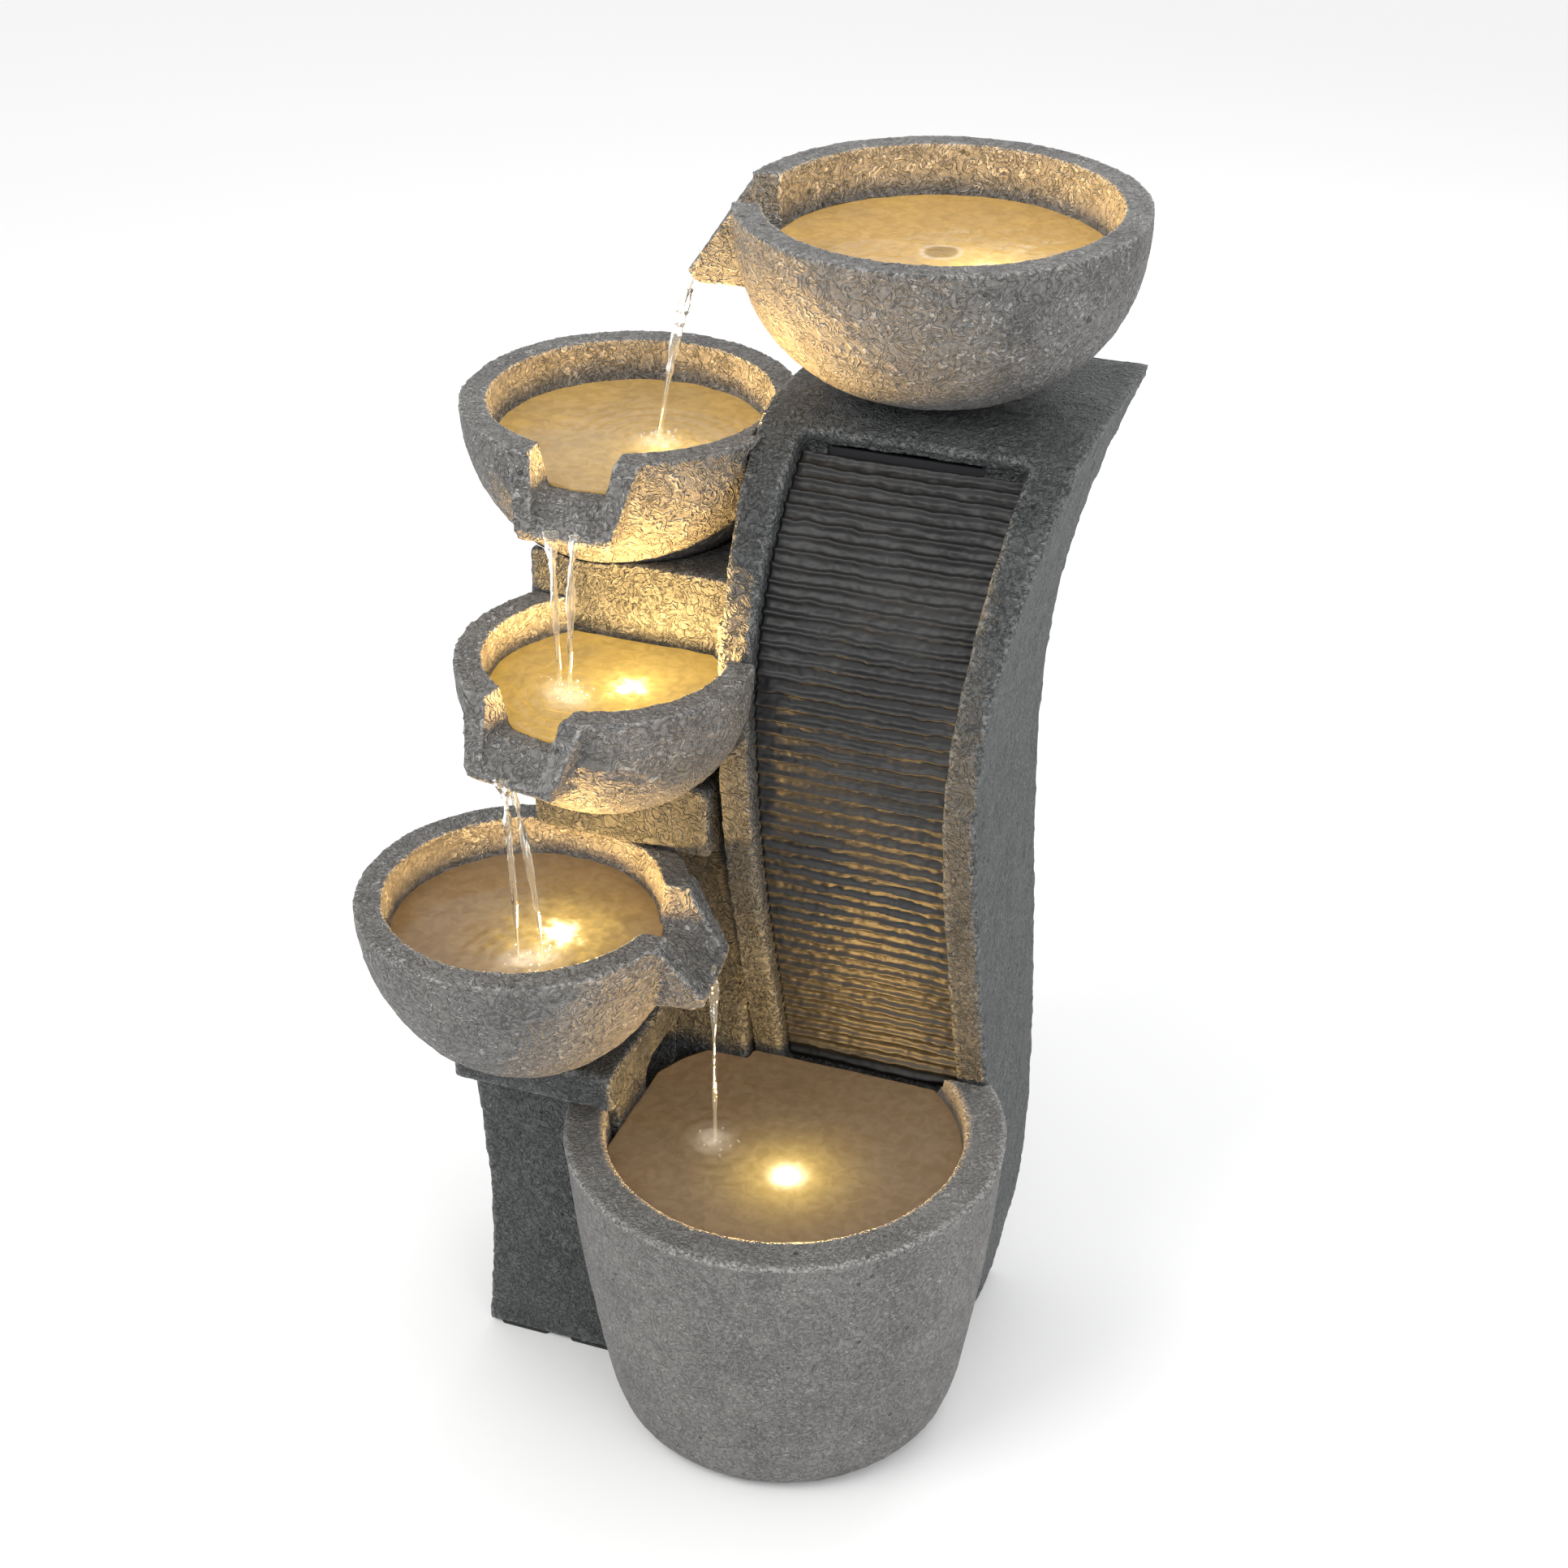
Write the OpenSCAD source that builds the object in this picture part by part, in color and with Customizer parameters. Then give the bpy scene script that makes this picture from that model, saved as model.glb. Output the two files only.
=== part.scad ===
// Tiered bowl water fountain: a curved tower with a rippled water wall, four spouted bowls that
// spill into one another, and a round catch basin that holds the pump.
// +Z is up, the viewer stands at -Y, the origin is on the floor on the tower's centre line.
// All sizes are in millimetres.

/* [Overall] */
// height of the tower's top above the floor
tower_h = 607; // [585:1:625]
// width of the tower at its waist
tower_w = 156; // [148:1:164]
// how much wider the tower's top is than its waist
tower_flare = 38; // [24:1:44]
// thickness of the hollow castings
wall = 8; // [6:0.5:10]

/* [Water wall] */
// clear width of the opening in the tower's face
wall_w = 114; // [100:1:120]
// how far the rippled panel lies behind the tower's face
recess = 16; // [12:1:19]
// height of one ripple
ripple = 9.4; // [8:0.1:12]
// how far a ripple's crest stands out
ripple_out = 2.2; // [1:0.1:3]

/* [Basin] */
// outer radius of the basin's rim
basin_r = 134; // [128:1:140]
// height of the basin's rim
basin_h = 202; // [190:1:210]
// thickness of the basin's rim
basin_wall = 26; // [20:1:30]

/* [Bowls] */
// outer radius of the top bowl
top_r = 119; // [112:1:124]
// outer radius of the upper bowl
upper_r = 101; // [96:1:106]
// outer radius of the middle bowl
middle_r = 87; // [82:1:92]
// outer radius of the lower bowl
lower_r = 98; // [92:1:104]
// thickness of a bowl's rim
bowl_wall = 17; // [14:1:20]
// how far the top bowl's spout stands out past its rim
spout_reach = 22; // [16:1:26]
// half the width of a spout across its cheeks
spout_half = 41; // [36:1:44]

/* [Pump] */
// diameter of the impeller's fixed shaft
shaft_d = 3; // [2:0.1:4]
// radial clearance of the impeller on the shaft
run_clear = 0.05; // [0.02:0.01:0.09]
// diameter of the impeller
impeller_d = 22; // [18:1:24]
// travel of the flow slider
slider_travel = 8; // [5:1:10]
// outer diameter of the water hose
hose_d = 14; // [12:1:16]

/* [Lights] */
// diameter of a light's housing
light_d = 28; // [24:1:32]
// height of a light's housing
light_h = 13; // [10:1:16]

/* [Outlet] */
// outer diameter of the top outlet pipe
outlet_d = 25; // [22:1:27]
// wall thickness of the top outlet pipe
outlet_t = 3; // [2:0.5:4]

/* [Rear door] */
// width of the rear door
door_w = 84; // [70:1:96]
// height of the rear door
door_h = 86; // [70:1:90]
// gap around the rear door
door_gap = 0.8; // [0.5:0.1:1.5]

/* [Hidden] */
$fn = 72;
e = 0.01;

STONE = [0.47, 0.455, 0.43];
DARK = [0.27, 0.28, 0.28];
BLACK = [0.05, 0.05, 0.055];
PLASTIC = [0.09, 0.09, 0.1];
STEEL = [0.72, 0.72, 0.72];
AMBER = [1.0, 0.8, 0.4];
HOSE = [0.16, 0.17, 0.17];
RUBBER = [0.07, 0.07, 0.07];

// the castings stand on thin rubber pads
pad_t = 2;

// the tower's side profile: the face bows forward at mid height and sweeps back at the top
half_w = tower_w / 2;
face_y0 = 34;
face_bow = 74;
face_lo = 50;
face_mid = 450;
face_min = face_y0 - face_bow;
crown_y = 90;
crown_n = 1.8;
function face(z) = z < face_lo ? face_y0
    : z < face_mid ? face_min + face_bow * (1 - cos(180 * (face_mid - z) / (face_mid - face_lo))) / 2
    : crown_y - (crown_y - face_min)
        * pow(max(0, 1 - pow((z - face_mid) / (tower_h - face_mid), crown_n)), 1 / crown_n);
back_waist = 93;
back_mid = 430;
back_lo = 120;
back_top = tower_h - 8;
wing_y = 216;
function back(z) = z < back_lo ? 76 + (back_waist - 46) * pow(sin(90 * max(z, 0) / back_lo), 1.2)
    : z < back_mid ? back_waist + 30 * (1 - cos(180 * (back_mid - z) / (back_mid - back_lo))) / 2
    : back_waist + (wing_y - back_waist) * pow(min(1, (z - back_mid) / (back_top - back_mid)), 4.8);
face_pts = concat([[face_y0, 0]],
                  [for (i = [0 : 20]) let (z = face_lo + (face_mid - face_lo) * i / 20) [face(z), z]],
                  [for (i = [1 : 17]) let (a = 90 * i / 17)
                   [crown_y - (crown_y - face_min) * pow(cos(a), 2 / crown_n),
                    face_mid + (tower_h - face_mid) * pow(sin(a), 2 / crown_n)]]);
back_zs = concat([for (i = [0 : 7]) back_lo * i / 8],
                 [for (i = [0 : 9]) back_lo + (back_mid - back_lo) * i / 9],
                 [for (i = [1 : 13]) back_mid + (back_top - back_mid) * sin(90 * i / 13)]);
side_pts = concat(face_pts, [[wing_y + 1, back_top + 1]],
                  [for (i = [len(back_zs) - 1 : -1 : 0]) [back(back_zs[i]), back_zs[i]]]);

// lengths along the face, so that ripples keep one spacing all the way up
face_n = len(face_pts);
face_s = [for (i = 0, s = 0; i < face_n;
               s = i < face_n - 1 ? s + norm(face_pts[i + 1] - face_pts[i]) : s, i = i + 1) s];
face_ys = [for (i = [0 : face_n - 1]) [face_s[i], face_pts[i][0]]];
face_zs = [for (i = [0 : face_n - 1]) [face_s[i], face_pts[i][1]]];
function s_of(z) = lookup(z, [for (i = [0 : face_n - 1]) [face_pts[i][1], face_s[i]]]);
function on_face(s) = [lookup(s, face_ys), lookup(s, face_zs)];
// a point at length s along the face, d mm behind it
function behind(s, d) = let (t = on_face(s + 4) - on_face(s - 4))
    on_face(s) + d * [t[1], -t[0]] / norm(t);

// the tower's front outline: straight below, flared above the waist, its axis drifting a little to +X
flare_z = 420;
function flare_t(z) = max(0, (z - flare_z) / (tower_h - flare_z));
function side_x(z) = half_w - (z < 60 ? 7 * (60 - z) / 60 : 0) + tower_flare / 2 * pow(flare_t(z), 1.9);
function axis_x(z) = 7.5 * pow(flare_t(z), 1.2);
front_zs = concat([-1, 60, flare_z], [for (i = [1 : 7]) flare_z + (tower_h + 2 - flare_z) * i / 7]);

// the back column and the piers beside the tower
col_right = -half_w - 0.2;
col_left = -213;
col_front = 6;
col_back = 104;
pier_left = -224;
pier_right = -125;
pier_front = -89;
cap_front = -116;
cap_z = 217;
cap_h = 27;
corbel_left = -197;
corbel_front = -37;
corbel_z = 357;
corbel_h = 47;
corbel_top = corbel_z + corbel_h;
cap_top = cap_z + cap_h;
block_top = 521;
block_back = 148;

// bowls: centre of the rim, then depth, fullness of the side, level of the spout's floor, level of its lip,
// reach of its lip, turn
top_c = [-4, 129, tower_h + 109];
upper_c = [-176, 76.5, 595];
middle_c = [-141, -47, 493];
lower_c = [-172, -107, 359];
top_depth = 112;
upper_depth = 105;
middle_depth = 92;
lower_depth = 114;
top_belly = 2.35;
upper_belly = 2.05;
middle_belly = 2.25;
lower_belly = 1.95;
top_crest = 32;
upper_crest = 27;
middle_crest = 24;
lower_crest = 26;
top_lip = 44;
upper_lip = 43;
middle_lip = 40;
lower_lip = 42;
upper_reach = spout_reach - 8;
middle_reach = spout_reach - 10;
lower_reach = spout_reach - 4;
top_turn = 188;
upper_turn = 273;
middle_turn = 259;
lower_turn = 7;
seat_gap = 0.3;
floor_t = 0.75 * bowl_wall;

basin_c = [-25.3, -67];
basin_floor = 14;
basin_in = basin_r - basin_wall;

// pump: shaft along Y, intake at the front
pump_c = [-4, -30, basin_floor + 26];
pump_w = 52;
pump_deep = 34;
pump_hh = 40;
chamber_d = impeller_d + 6;
cover_t = 6;
strainer_t = 14;

// hoses and the pieces they push onto
hose_in = hose_d - 5;
barb_d = hose_in - 0.1;
pipe_x = top_c[0];
spigot_y = pump_c[1] - 6;
pump_top = pump_c[2] + pump_hh / 2;
pass_z = 112;
bend_r = 20;
riser_y = 72;
tee_z = tower_h - 81;
tee_down = 12;
tee_up = 17;
tail_z = tower_h - 24;
plate_z = tower_h - 12;
trough_z = tower_h - 44;

door_z = 170;
door_t = 3.5;
gasket_t = 1;

// lights: centre of each one's underside
light_drop = 38;
light_at = [[30, 114, top_c[2] - top_crest - light_drop],
            [-148, 69, upper_c[2] - upper_crest - light_drop],
            [-131, -24, middle_c[2] - middle_crest - light_drop],
            [-155, -84, lower_c[2] - lower_crest - light_drop],
            [-14, -96, basin_floor]];
lead_r = 1.8;

// bolts that hold the three side bowls: seat of the washer, then the length of the shank
bolt_d = 8;
bolt_at = [[-192, 86.5, 508], [-161, -21, 424], [-178, -90, 262]];
bolt_len = [24, 38, 40];

// ---------- shared shapes ----------

// a prism along X of a profile drawn in (Y, Z)
module along_x(x0, x1) {
    translate([x0, 0, 0]) rotate([90, 0, 90]) linear_extrude(x1 - x0) children();
}

// a prism along Y of an outline drawn in (X, Z)
module along_y(y0, y1) {
    translate([0, y1, 0]) rotate([90, 0, 0]) linear_extrude(y1 - y0) children();
}

module box_at(lo, hi) {
    translate(lo) cube(hi - lo);
}

// a round bar along Y
module rod_y(x, z, y0, y1, d) {
    translate([x, y0, z]) rotate([-90, 0, 0]) cylinder(d = d, h = y1 - y0);
}

module rod_x(y, z, x0, x1, d) {
    translate([x0, y, z]) rotate([0, 90, 0]) cylinder(d = d, h = x1 - x0);
}

module drill(p, depth, d) {
    translate([p[0], p[1], p[2] - depth]) cylinder(d = d, h = depth + 60);
}

module below_pads() {
    box_at([-400, -400, -20], [400, 400, pad_t]);
}

module tower_outline(grow) {
    polygon(concat([for (z = front_zs) [axis_x(z) + side_x(z) + grow, z]],
                   [for (i = [len(front_zs) - 1 : -1 : 0]) let (z = front_zs[i])
                    [axis_x(z) - side_x(z) - grow, z]]));
}

// the tower's outside, without its hollows
module tower_solid() {
    intersection() {
        along_x(-150, 150) polygon(side_pts);
        along_y(-60, 260) tower_outline(0);
    }
}

// the tower's outside with a hair of clearance, cut from the pieces that lean on it
module tower_room() {
    intersection() {
        along_x(-150, 150) translate([-0.15, 0]) polygon(side_pts);
        along_y(-60, 260) tower_outline(0.15);
    }
}

function bowl_pts(r, h, b) = [for (i = [0 : 14]) let (a = 90 * i / 14)
    [r * pow(cos(a), 2 / b), -h * pow(sin(a), 2 / b)]];

// outside of a bowl, as a solid, rim plane at z = 0
module bowl_outer(r, h, b, g = 0) {
    rotate_extrude() polygon(concat([[0, 0]], bowl_pts(r + g, h + g, b)));
}

// inside of a bowl, reaching above the rim
module bowl_inner(r, h, b) {
    rotate_extrude() polygon(concat([[0, 2], [r - bowl_wall, 2]], bowl_pts(r - bowl_wall, h - floor_t, b)));
}

// the faceted block that carries a spout, along +X from the rim
module spout_block(r, lip, reach) {
    tip = r + reach;
    intersection() {
        along_y(-60, 60) polygon([[r - 34, 0], [r - 6, 0], [tip, -lip + 3], [tip - 1, -lip - 3],
                                  [tip - 6, -lip - 6], [r - 34, -lip - 8]]);
        along_x(0, 200) polygon([[-spout_half, 0], [spout_half, 0], [spout_half - 15, -lip - 9],
                                 [15 - spout_half, -lip - 9]]);
    }
}

// the channel cut through the rim and the spout block
module spout_channel(r, crest, lip, reach) {
    tip = r + reach;
    fall = (lip - crest - 1) / (reach + 6);
    intersection() {
        along_y(-60, 60) polygon([[r - 60, -crest], [r - 6, -crest], [tip + 8, -lip + 1 - fall * 8],
                                  [tip + 30, 5], [r - 60, 5]]);
        along_x(0, 220) polygon([[-spout_half + 15, 5], [spout_half - 15, 5], [spout_half - 25, -lip - 12],
                                 [25 - spout_half, -lip - 12]]);
    }
}

// a bowl in place, with raised seats for its light and its fixing
module bowl(c, r, h, b, crest, lip, reach, turn, light, seat, seat_r) {
    difference() {
        union() {
            translate(c) difference() {
                union() {
                    bowl_outer(r, h, b);
                    rotate([0, 0, turn]) spout_block(r, lip, reach);
                }
                bowl_inner(r, h, b);
                rotate([0, 0, turn]) spout_channel(r, crest, lip, reach);
            }
            intersection() {
                translate(c) bowl_outer(r, h, b, -1);
                union() {
                    translate(light - [0, 0, 60]) cylinder(d = light_d + 2, h = 60);
                    translate(seat - [0, 0, 60]) cylinder(r = seat_r, h = 60);
                }
            }
        }
        drill(light, 80, 2 * lead_r + 3);
        translate(seat) cylinder(r = seat_r - 0.6, h = 40);
    }
}

// a tube swept along points, drawn as one closed skin
function unit(v) = v / norm(v);
function dir_at(p, i) = unit(p[min(i + 1, len(p) - 1)] - p[max(i - 1, 0)]);
function side_of(d) = unit(cross(d, abs(d[0]) < 0.9 ? [1, 0, 0] : [0, 1, 0]));
module sweep(p, r, n = 6) {
    m = len(p);
    pts = [for (i = [0 : m - 1]) let (d = dir_at(p, i), s = side_of(d), t = cross(d, s))
           for (k = [0 : n - 1]) p[i] + r * (cos(360 * k / n) * s + sin(360 * k / n) * t)];
    faces = concat([[for (k = [0 : n - 1]) k]], [[for (k = [n - 1 : -1 : 0]) (m - 1) * n + k]],
                   [for (i = [0 : m - 2]) for (k = [0 : n - 1])
                    [i * n + k, (i + 1) * n + k, (i + 1) * n + (k + 1) % n, i * n + (k + 1) % n]]);
    polyhedron(pts, faces);
}

// a straight length of hose from z = 0 up
module hose_run(len_) {
    difference() {
        cylinder(d = hose_d, h = len_);
        translate([0, 0, -1]) cylinder(d = hose_in, h = len_ + 2);
    }
}

// a quarter bend of hose in the plane of the pump's outlet
module hose_bend(y, z, turn) {
    translate([pipe_x, y, z]) rotate([90, 0, 90]) rotate([0, 0, turn]) rotate_extrude(angle = 90)
        translate([bend_r, 0]) difference() {
            circle(d = hose_d);
            circle(d = hose_in);
        }
}

// ---------- castings ----------

slot_lo = basin_h - 30;
arc_lo = s_of(slot_lo);
arc_hi = s_of(tower_h - 8.6);
hollow_x = half_w - wall - 7;

// the hollow inside the tower
module tower_hollow() {
    arc_n = 22;
    zs = [for (i = [0 : 18]) -1 + (plate_z + 1) * i / 18];
    along_x(-hollow_x, hollow_x) polygon(concat(
        [[face_y0 + wall, -1]],
        [for (i = [0 : 5]) behind(60 + (arc_lo - wall - 60) * i / 5, wall)],
        [for (i = [0 : arc_n])
         behind(arc_lo - wall + (face_s[face_n - 1] - 6 - arc_lo + wall) * i / arc_n, recess + wall)],
        [[crown_y, plate_z]],
        [for (i = [18 : -1 : 0]) [min(back(zs[i]), back(zs[i] - wall)) - wall, zs[i]]]));
}

// everything between the face and a depth behind it, over the length of the opening
module face_band(s0, s1, d0, d1, n) {
    along_x(-100, 100) polygon(concat([for (i = [0 : n]) behind(s0 + (s1 - s0) * i / n, d0)],
                                      [for (i = [n : -1 : 0]) behind(s0 + (s1 - s0) * i / n, d1)]));
}

// the opening's outline, a little wider at its top
module opening_outline(grow) {
    zs = [slot_lo - 20, flare_z, flare_z + 60, flare_z + 110, tower_h - 25, tower_h + 4];
    polygon(concat([for (z = zs) [axis_x(z) + wall_w / 2 + 10.5 * flare_t(z) + grow, z]],
                   [for (i = [5 : -1 : 0]) let (z = zs[i])
                    [axis_x(z) - wall_w / 2 - 10.5 * flare_t(z) - grow, z]]));
}

trough_y = behind(arc_hi, recess)[0] + 0.4;
trough_x = wall_w / 2 - 10;

module door_shape(inset, d0, d1, n = 8) {
    along_x(-door_w / 2 + inset, door_w / 2 - inset) polygon(concat(
        [for (i = [0 : n]) let (z = door_z + inset + (door_h - 2 * inset) * i / n) [back(z) - d0, z]],
        [for (i = [n : -1 : 0]) let (z = door_z + inset + (door_h - 2 * inset) * i / n)
         [back(z) - d1, z]]));
}

lead_x = pipe_x + 22;
gland_x = -40;
gland_z = 60;

module tower_shell() color(DARK) difference() {
    tower_solid();
    tower_hollow();
    below_pads();
    // shallow opening that takes the rippled panel
    intersection() {
        face_band(arc_lo, arc_hi, -40, recess, 26);
        along_y(-90, 140) opening_outline(0);
    }
    // slot behind the opening's top edge and the room of the weir trough
    box_at([-trough_x - 1, trough_y - 1.5, trough_z - 2], [trough_x + 1, crown_y + 4, plate_z]);
    // rear door and its ledge
    door_shape(0, -20, door_t + gasket_t);
    door_shape(6, -20, wall + 12);
    // seat of the top bowl, room for its pipe and nut, and the slanting hose below
    translate(top_c) bowl_outer(top_r, top_depth, top_belly, seat_gap);
    translate([pipe_x, top_c[1], plate_z - 1]) cylinder(d = outlet_d + 0.6, h = 40);
    translate([pipe_x, top_c[1], tail_z - 6]) cylinder(d = outlet_d + 12, h = plate_z - tail_z + 6);
    translate([pipe_x, top_c[1], tail_z]) rotate([135, 0, 0]) cylinder(d = hose_d + 3, h = 78);
    drill(light_at[0], 150, 2 * lead_r + 3);
    // passages of the hose and the leads from the pool, the cord gland, the leads from the column
    rod_y(pipe_x, pass_z, 20, 60, hose_d + 6);
    rod_y(lead_x, pass_z, 20, 60, 14);
    rod_y(gland_x, gland_z, 60, 140, 16);
    rod_y(gland_x, gland_z, back(gland_z) + 3.2, 140, 23);
    rod_y(gland_x, gland_z, 60, back(gland_z) - wall - 4.8, 22);
    rod_x(58, 336, -90, -50, 16);
}

// rippled panel: a wavy face that follows the opening
ripples = floor((arc_hi - arc_lo - 4) / ripple);
module water_wall() color(BLACK) intersection() {
    along_x(-100, 100) polygon(concat(
        [for (i = [0 : ripples - 1]) each let (s = arc_lo + 1 + i * ripple)
            [behind(s, recess - 5), behind(s + ripple * 0.3, recess - 5 - 0.75 * ripple_out),
             behind(s + ripple * 0.55, recess - 5 - ripple_out),
             behind(s + ripple * 0.8, recess - 5 - 0.6 * ripple_out)]],
        [behind(arc_hi - 1, recess - 5)],
        [for (i = [26 : -1 : 0]) behind(arc_lo + 1 + (arc_hi - arc_lo - 2) * i / 26, recess - 0.4)]));
    along_y(-90, 140) opening_outline(-0.3);
}

// trough that spreads water over the panel's top edge
module weir_trough() color(PLASTIC) difference() {
    union() {
        box_at([-trough_x, trough_y, trough_z], [trough_x, crown_y - 2, plate_z - 3]);
        for (s = [-1, 1]) translate([s * (trough_x + (hollow_x - trough_x) / 2), crown_y - 8, trough_z + 2])
            cube([hollow_x - trough_x + 0.6 - 0.8, 10, 4], center = true);
        translate([pipe_x, riser_y, trough_z - 8]) cylinder(d = barb_d, h = 9);
    }
    box_at([-trough_x + 2, trough_y + 2, trough_z + 2], [trough_x - 2, crown_y - 4, plate_z]);
    box_at([-trough_x + 2, trough_y - 1, plate_z - 7.5], [trough_x - 2, crown_y - 4, plate_z]);
    translate([pipe_x, riser_y, trough_z - 9]) cylinder(d = barb_d - 3, h = 20);
}

module basin_hollow() {
    translate([basin_c[0], basin_c[1], 0]) rotate_extrude()
        polygon([[0, basin_floor], [basin_in - 34, basin_floor], [basin_in - 24, basin_floor + 6],
                 [basin_in - 16, basin_floor + 26], [basin_in - 5, 110], [basin_in, basin_h - 6],
                 [basin_in + 1, basin_h + 1], [0, basin_h + 1]]);
    // the pool also fills the corner between the pier and the tower
    box_at([pier_right, -62, 110], [col_right, col_front, basin_h + 1]);
}

pads_basin = [[0, 0], [-25, -150], [-95, -70], [45, -75]];
module basin() color(STONE) difference() {
    translate([basin_c[0], basin_c[1], 0]) rotate_extrude()
        polygon([[0, 0], [basin_r - 39, 0], [basin_r - 33, 4], [basin_r - 28, 11], [basin_r - 25, 20],
                 [basin_r - 22, 32], [basin_r - 17, 62], [basin_r - 11, 100], [basin_r - 5, 150],
                 [basin_r - 1.2, basin_h - 6], [basin_r, basin_h - 2], [basin_r - 1.2, basin_h], [0, basin_h]]);
    basin_hollow();
    tower_room();
    below_pads();
    for (p = pads_basin) translate([p[0], p[1], -1]) cylinder(d = 22.4, h = 5);
    // passages of the hose and the leads through the back wall
    rod_y(pipe_x, pass_z, 5, 60, hose_d + 12);
    rod_y(lead_x, pass_z, 5, 60, 20);
    box_at([-300, pier_front - 0.15, -1], [pier_right + 0.15, 200, 400]);
    box_at([-300, col_front - 0.15, -1], [col_right + 0.5, 200, 400]);
}

// slightly waisted left side of the piers
function waist(z) = 7 * sin(180 * z / cap_z);
module pier_side(z0, z1, n, inset) {
    polygon(concat([[pier_right - inset, z0], [pier_right - inset, z1]],
                   [for (i = [n : -1 : 0]) let (z = z0 + (z1 - z0) * i / n)
                    [pier_left + inset + waist(max(z, 0)), z]]));
}

module lower_pier() color(DARK) difference() {
    along_y(pier_front, col_front - 0.2) pier_side(0, cap_z - 0.1, 8, 0);
    along_y(pier_front + wall, col_front - wall) pier_side(-1, 160, 8, wall);
    below_pads();
    // alcove in the side that faces the pool
    for (y = [-31, -12]) rod_x(y, 188.7, pier_right - 18, pier_right + 10, 29);
    box_at([pier_right - 18, -31, 174.2], [pier_right + 10, -12, 203.2]);
    // passages of the lower light's lead
    translate([-155, -60, 150]) cylinder(d = 8, h = 80);
    rod_y(-180, 40, -12, 20, 14);
}

module lower_cap() color(DARK) difference() {
    along_x(pier_left + 2, pier_right + 8)
        polygon([[cap_front + 3, cap_z], [cap_front, cap_z + 3], [cap_front, cap_top - 2],
                 [cap_front + 2, cap_top], [col_front - 0.2, cap_top], [col_front - 0.2, cap_z]]);
    translate(lower_c) bowl_outer(lower_r, lower_depth, lower_belly, seat_gap);
    drill(light_at[3], light_at[3][2] - cap_z - 9, 8);
    rod_y(-155, cap_z + 13, -84, -60, 8);
    translate([-155, -60, cap_z - 1]) cylinder(d = 8, h = 18);
    drill(bolt_at[2], bolt_len[2], bolt_d + 0.2);
}

module middle_pier() color(DARK) difference() {
    union() {
        box_at([col_left, col_front, 0], [col_right, col_back, corbel_top]);
        along_x(corbel_left, col_right - 6)
            polygon([[corbel_front + 3, corbel_z], [corbel_front, corbel_z + 3],
                     [corbel_front, corbel_top - 2], [corbel_front + 2, corbel_top],
                     [col_front + 1, corbel_top], [col_front + 1, corbel_z]]);
    }
    box_at([col_left + wall, col_front + wall, -1], [col_right - wall, col_back - wall, corbel_top - wall]);
    below_pads();
    translate(middle_c) bowl_outer(middle_r, middle_depth, middle_belly, seat_gap);
    tower_room();
    rod_y(-180, 40, -12, 20, 14);
    translate([-120, 60, corbel_top - 20]) cylinder(d = 14, h = 60);
    drill(light_at[2], light_at[2][2] - corbel_z - 23, 8);
    rod_y(light_at[2][0], corbel_z + 27, light_at[2][1], 20, 8);
    rod_x(58, 336, -100, -60, 16);
    drill(bolt_at[1], bolt_len[1], bolt_d + 0.2);
}

module upper_pier() color(DARK) difference() {
    along_x(col_left, col_right - 2.6)
        polygon([[col_front, corbel_top + 0.1], [col_front, block_top - 2], [col_front + 2, block_top],
                 [block_back - 4, block_top], [block_back, block_top - 4], [block_back, block_top - 36],
                 [col_back, corbel_top + 26], [col_back, corbel_top + 0.1]]);
    box_at([col_left + wall, col_front + wall, 0],
           [col_right - wall - 6, col_back - wall, upper_c[2] - upper_depth - wall]);
    translate(upper_c) bowl_outer(upper_r, upper_depth, upper_belly, seat_gap);
    drill(light_at[1], 70, 2 * lead_r + 3);
    drill(bolt_at[0], bolt_len[0], bolt_d + 0.2);
    tower_room();
}

// ---------- bowls ----------

pipe_seat = top_c[2] - top_depth + floor_t + 4;

module top_bowl() color(STONE) difference() {
    bowl(top_c, top_r, top_depth, top_belly, top_crest, top_lip, spout_reach, top_turn, light_at[0],
         [pipe_x, top_c[1], pipe_seat], outlet_d / 2 + 7);
    translate([pipe_x, top_c[1], tower_h - 60]) cylinder(d = outlet_d + 0.4, h = 160);
}

module upper_bowl() color(STONE) difference() {
    bowl(upper_c, upper_r, upper_depth, upper_belly, upper_crest, upper_lip, upper_reach, upper_turn,
         light_at[1], bolt_at[0], 11);
    drill(bolt_at[0], 60, bolt_d + 0.4);
    tower_room();
}

module middle_bowl() color(STONE) difference() {
    bowl(middle_c, middle_r, middle_depth, middle_belly, middle_crest, middle_lip, middle_reach,
         middle_turn, light_at[2], bolt_at[1], 11);
    drill(bolt_at[1], 60, bolt_d + 0.4);
    tower_room();
    box_at([col_left - 1, col_front - 0.1, corbel_z], [col_right + 1, col_back, block_top]);
}

module lower_bowl() color(STONE) difference() {
    union() {
        bowl(lower_c, lower_r, lower_depth, lower_belly, lower_crest, lower_lip, lower_reach, lower_turn,
             light_at[3], bolt_at[2], 11);
        // flat foot on the cap
        intersection() {
            translate([lower_c[0], lower_c[1] + 8, cap_top + 0.05]) cylinder(r = 34, h = 9);
            box_at([-300, cap_front + 3, cap_top], [0, 0, cap_top + 20]);
        }
    }
    drill(bolt_at[2], 60, bolt_d + 0.4);
    drill(light_at[3], 80, 2 * lead_r + 3);
    box_at([corbel_left - 1, corbel_front - 0.3, corbel_z - 0.3], [col_right, 20, corbel_top]);
}

// ---------- rear door ----------

module rear_door() color(DARK) difference() {
    door_shape(door_gap, 0, door_t);
    rod_y(0, door_z + door_h / 2, 60, 160, 6.1);
}

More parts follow.
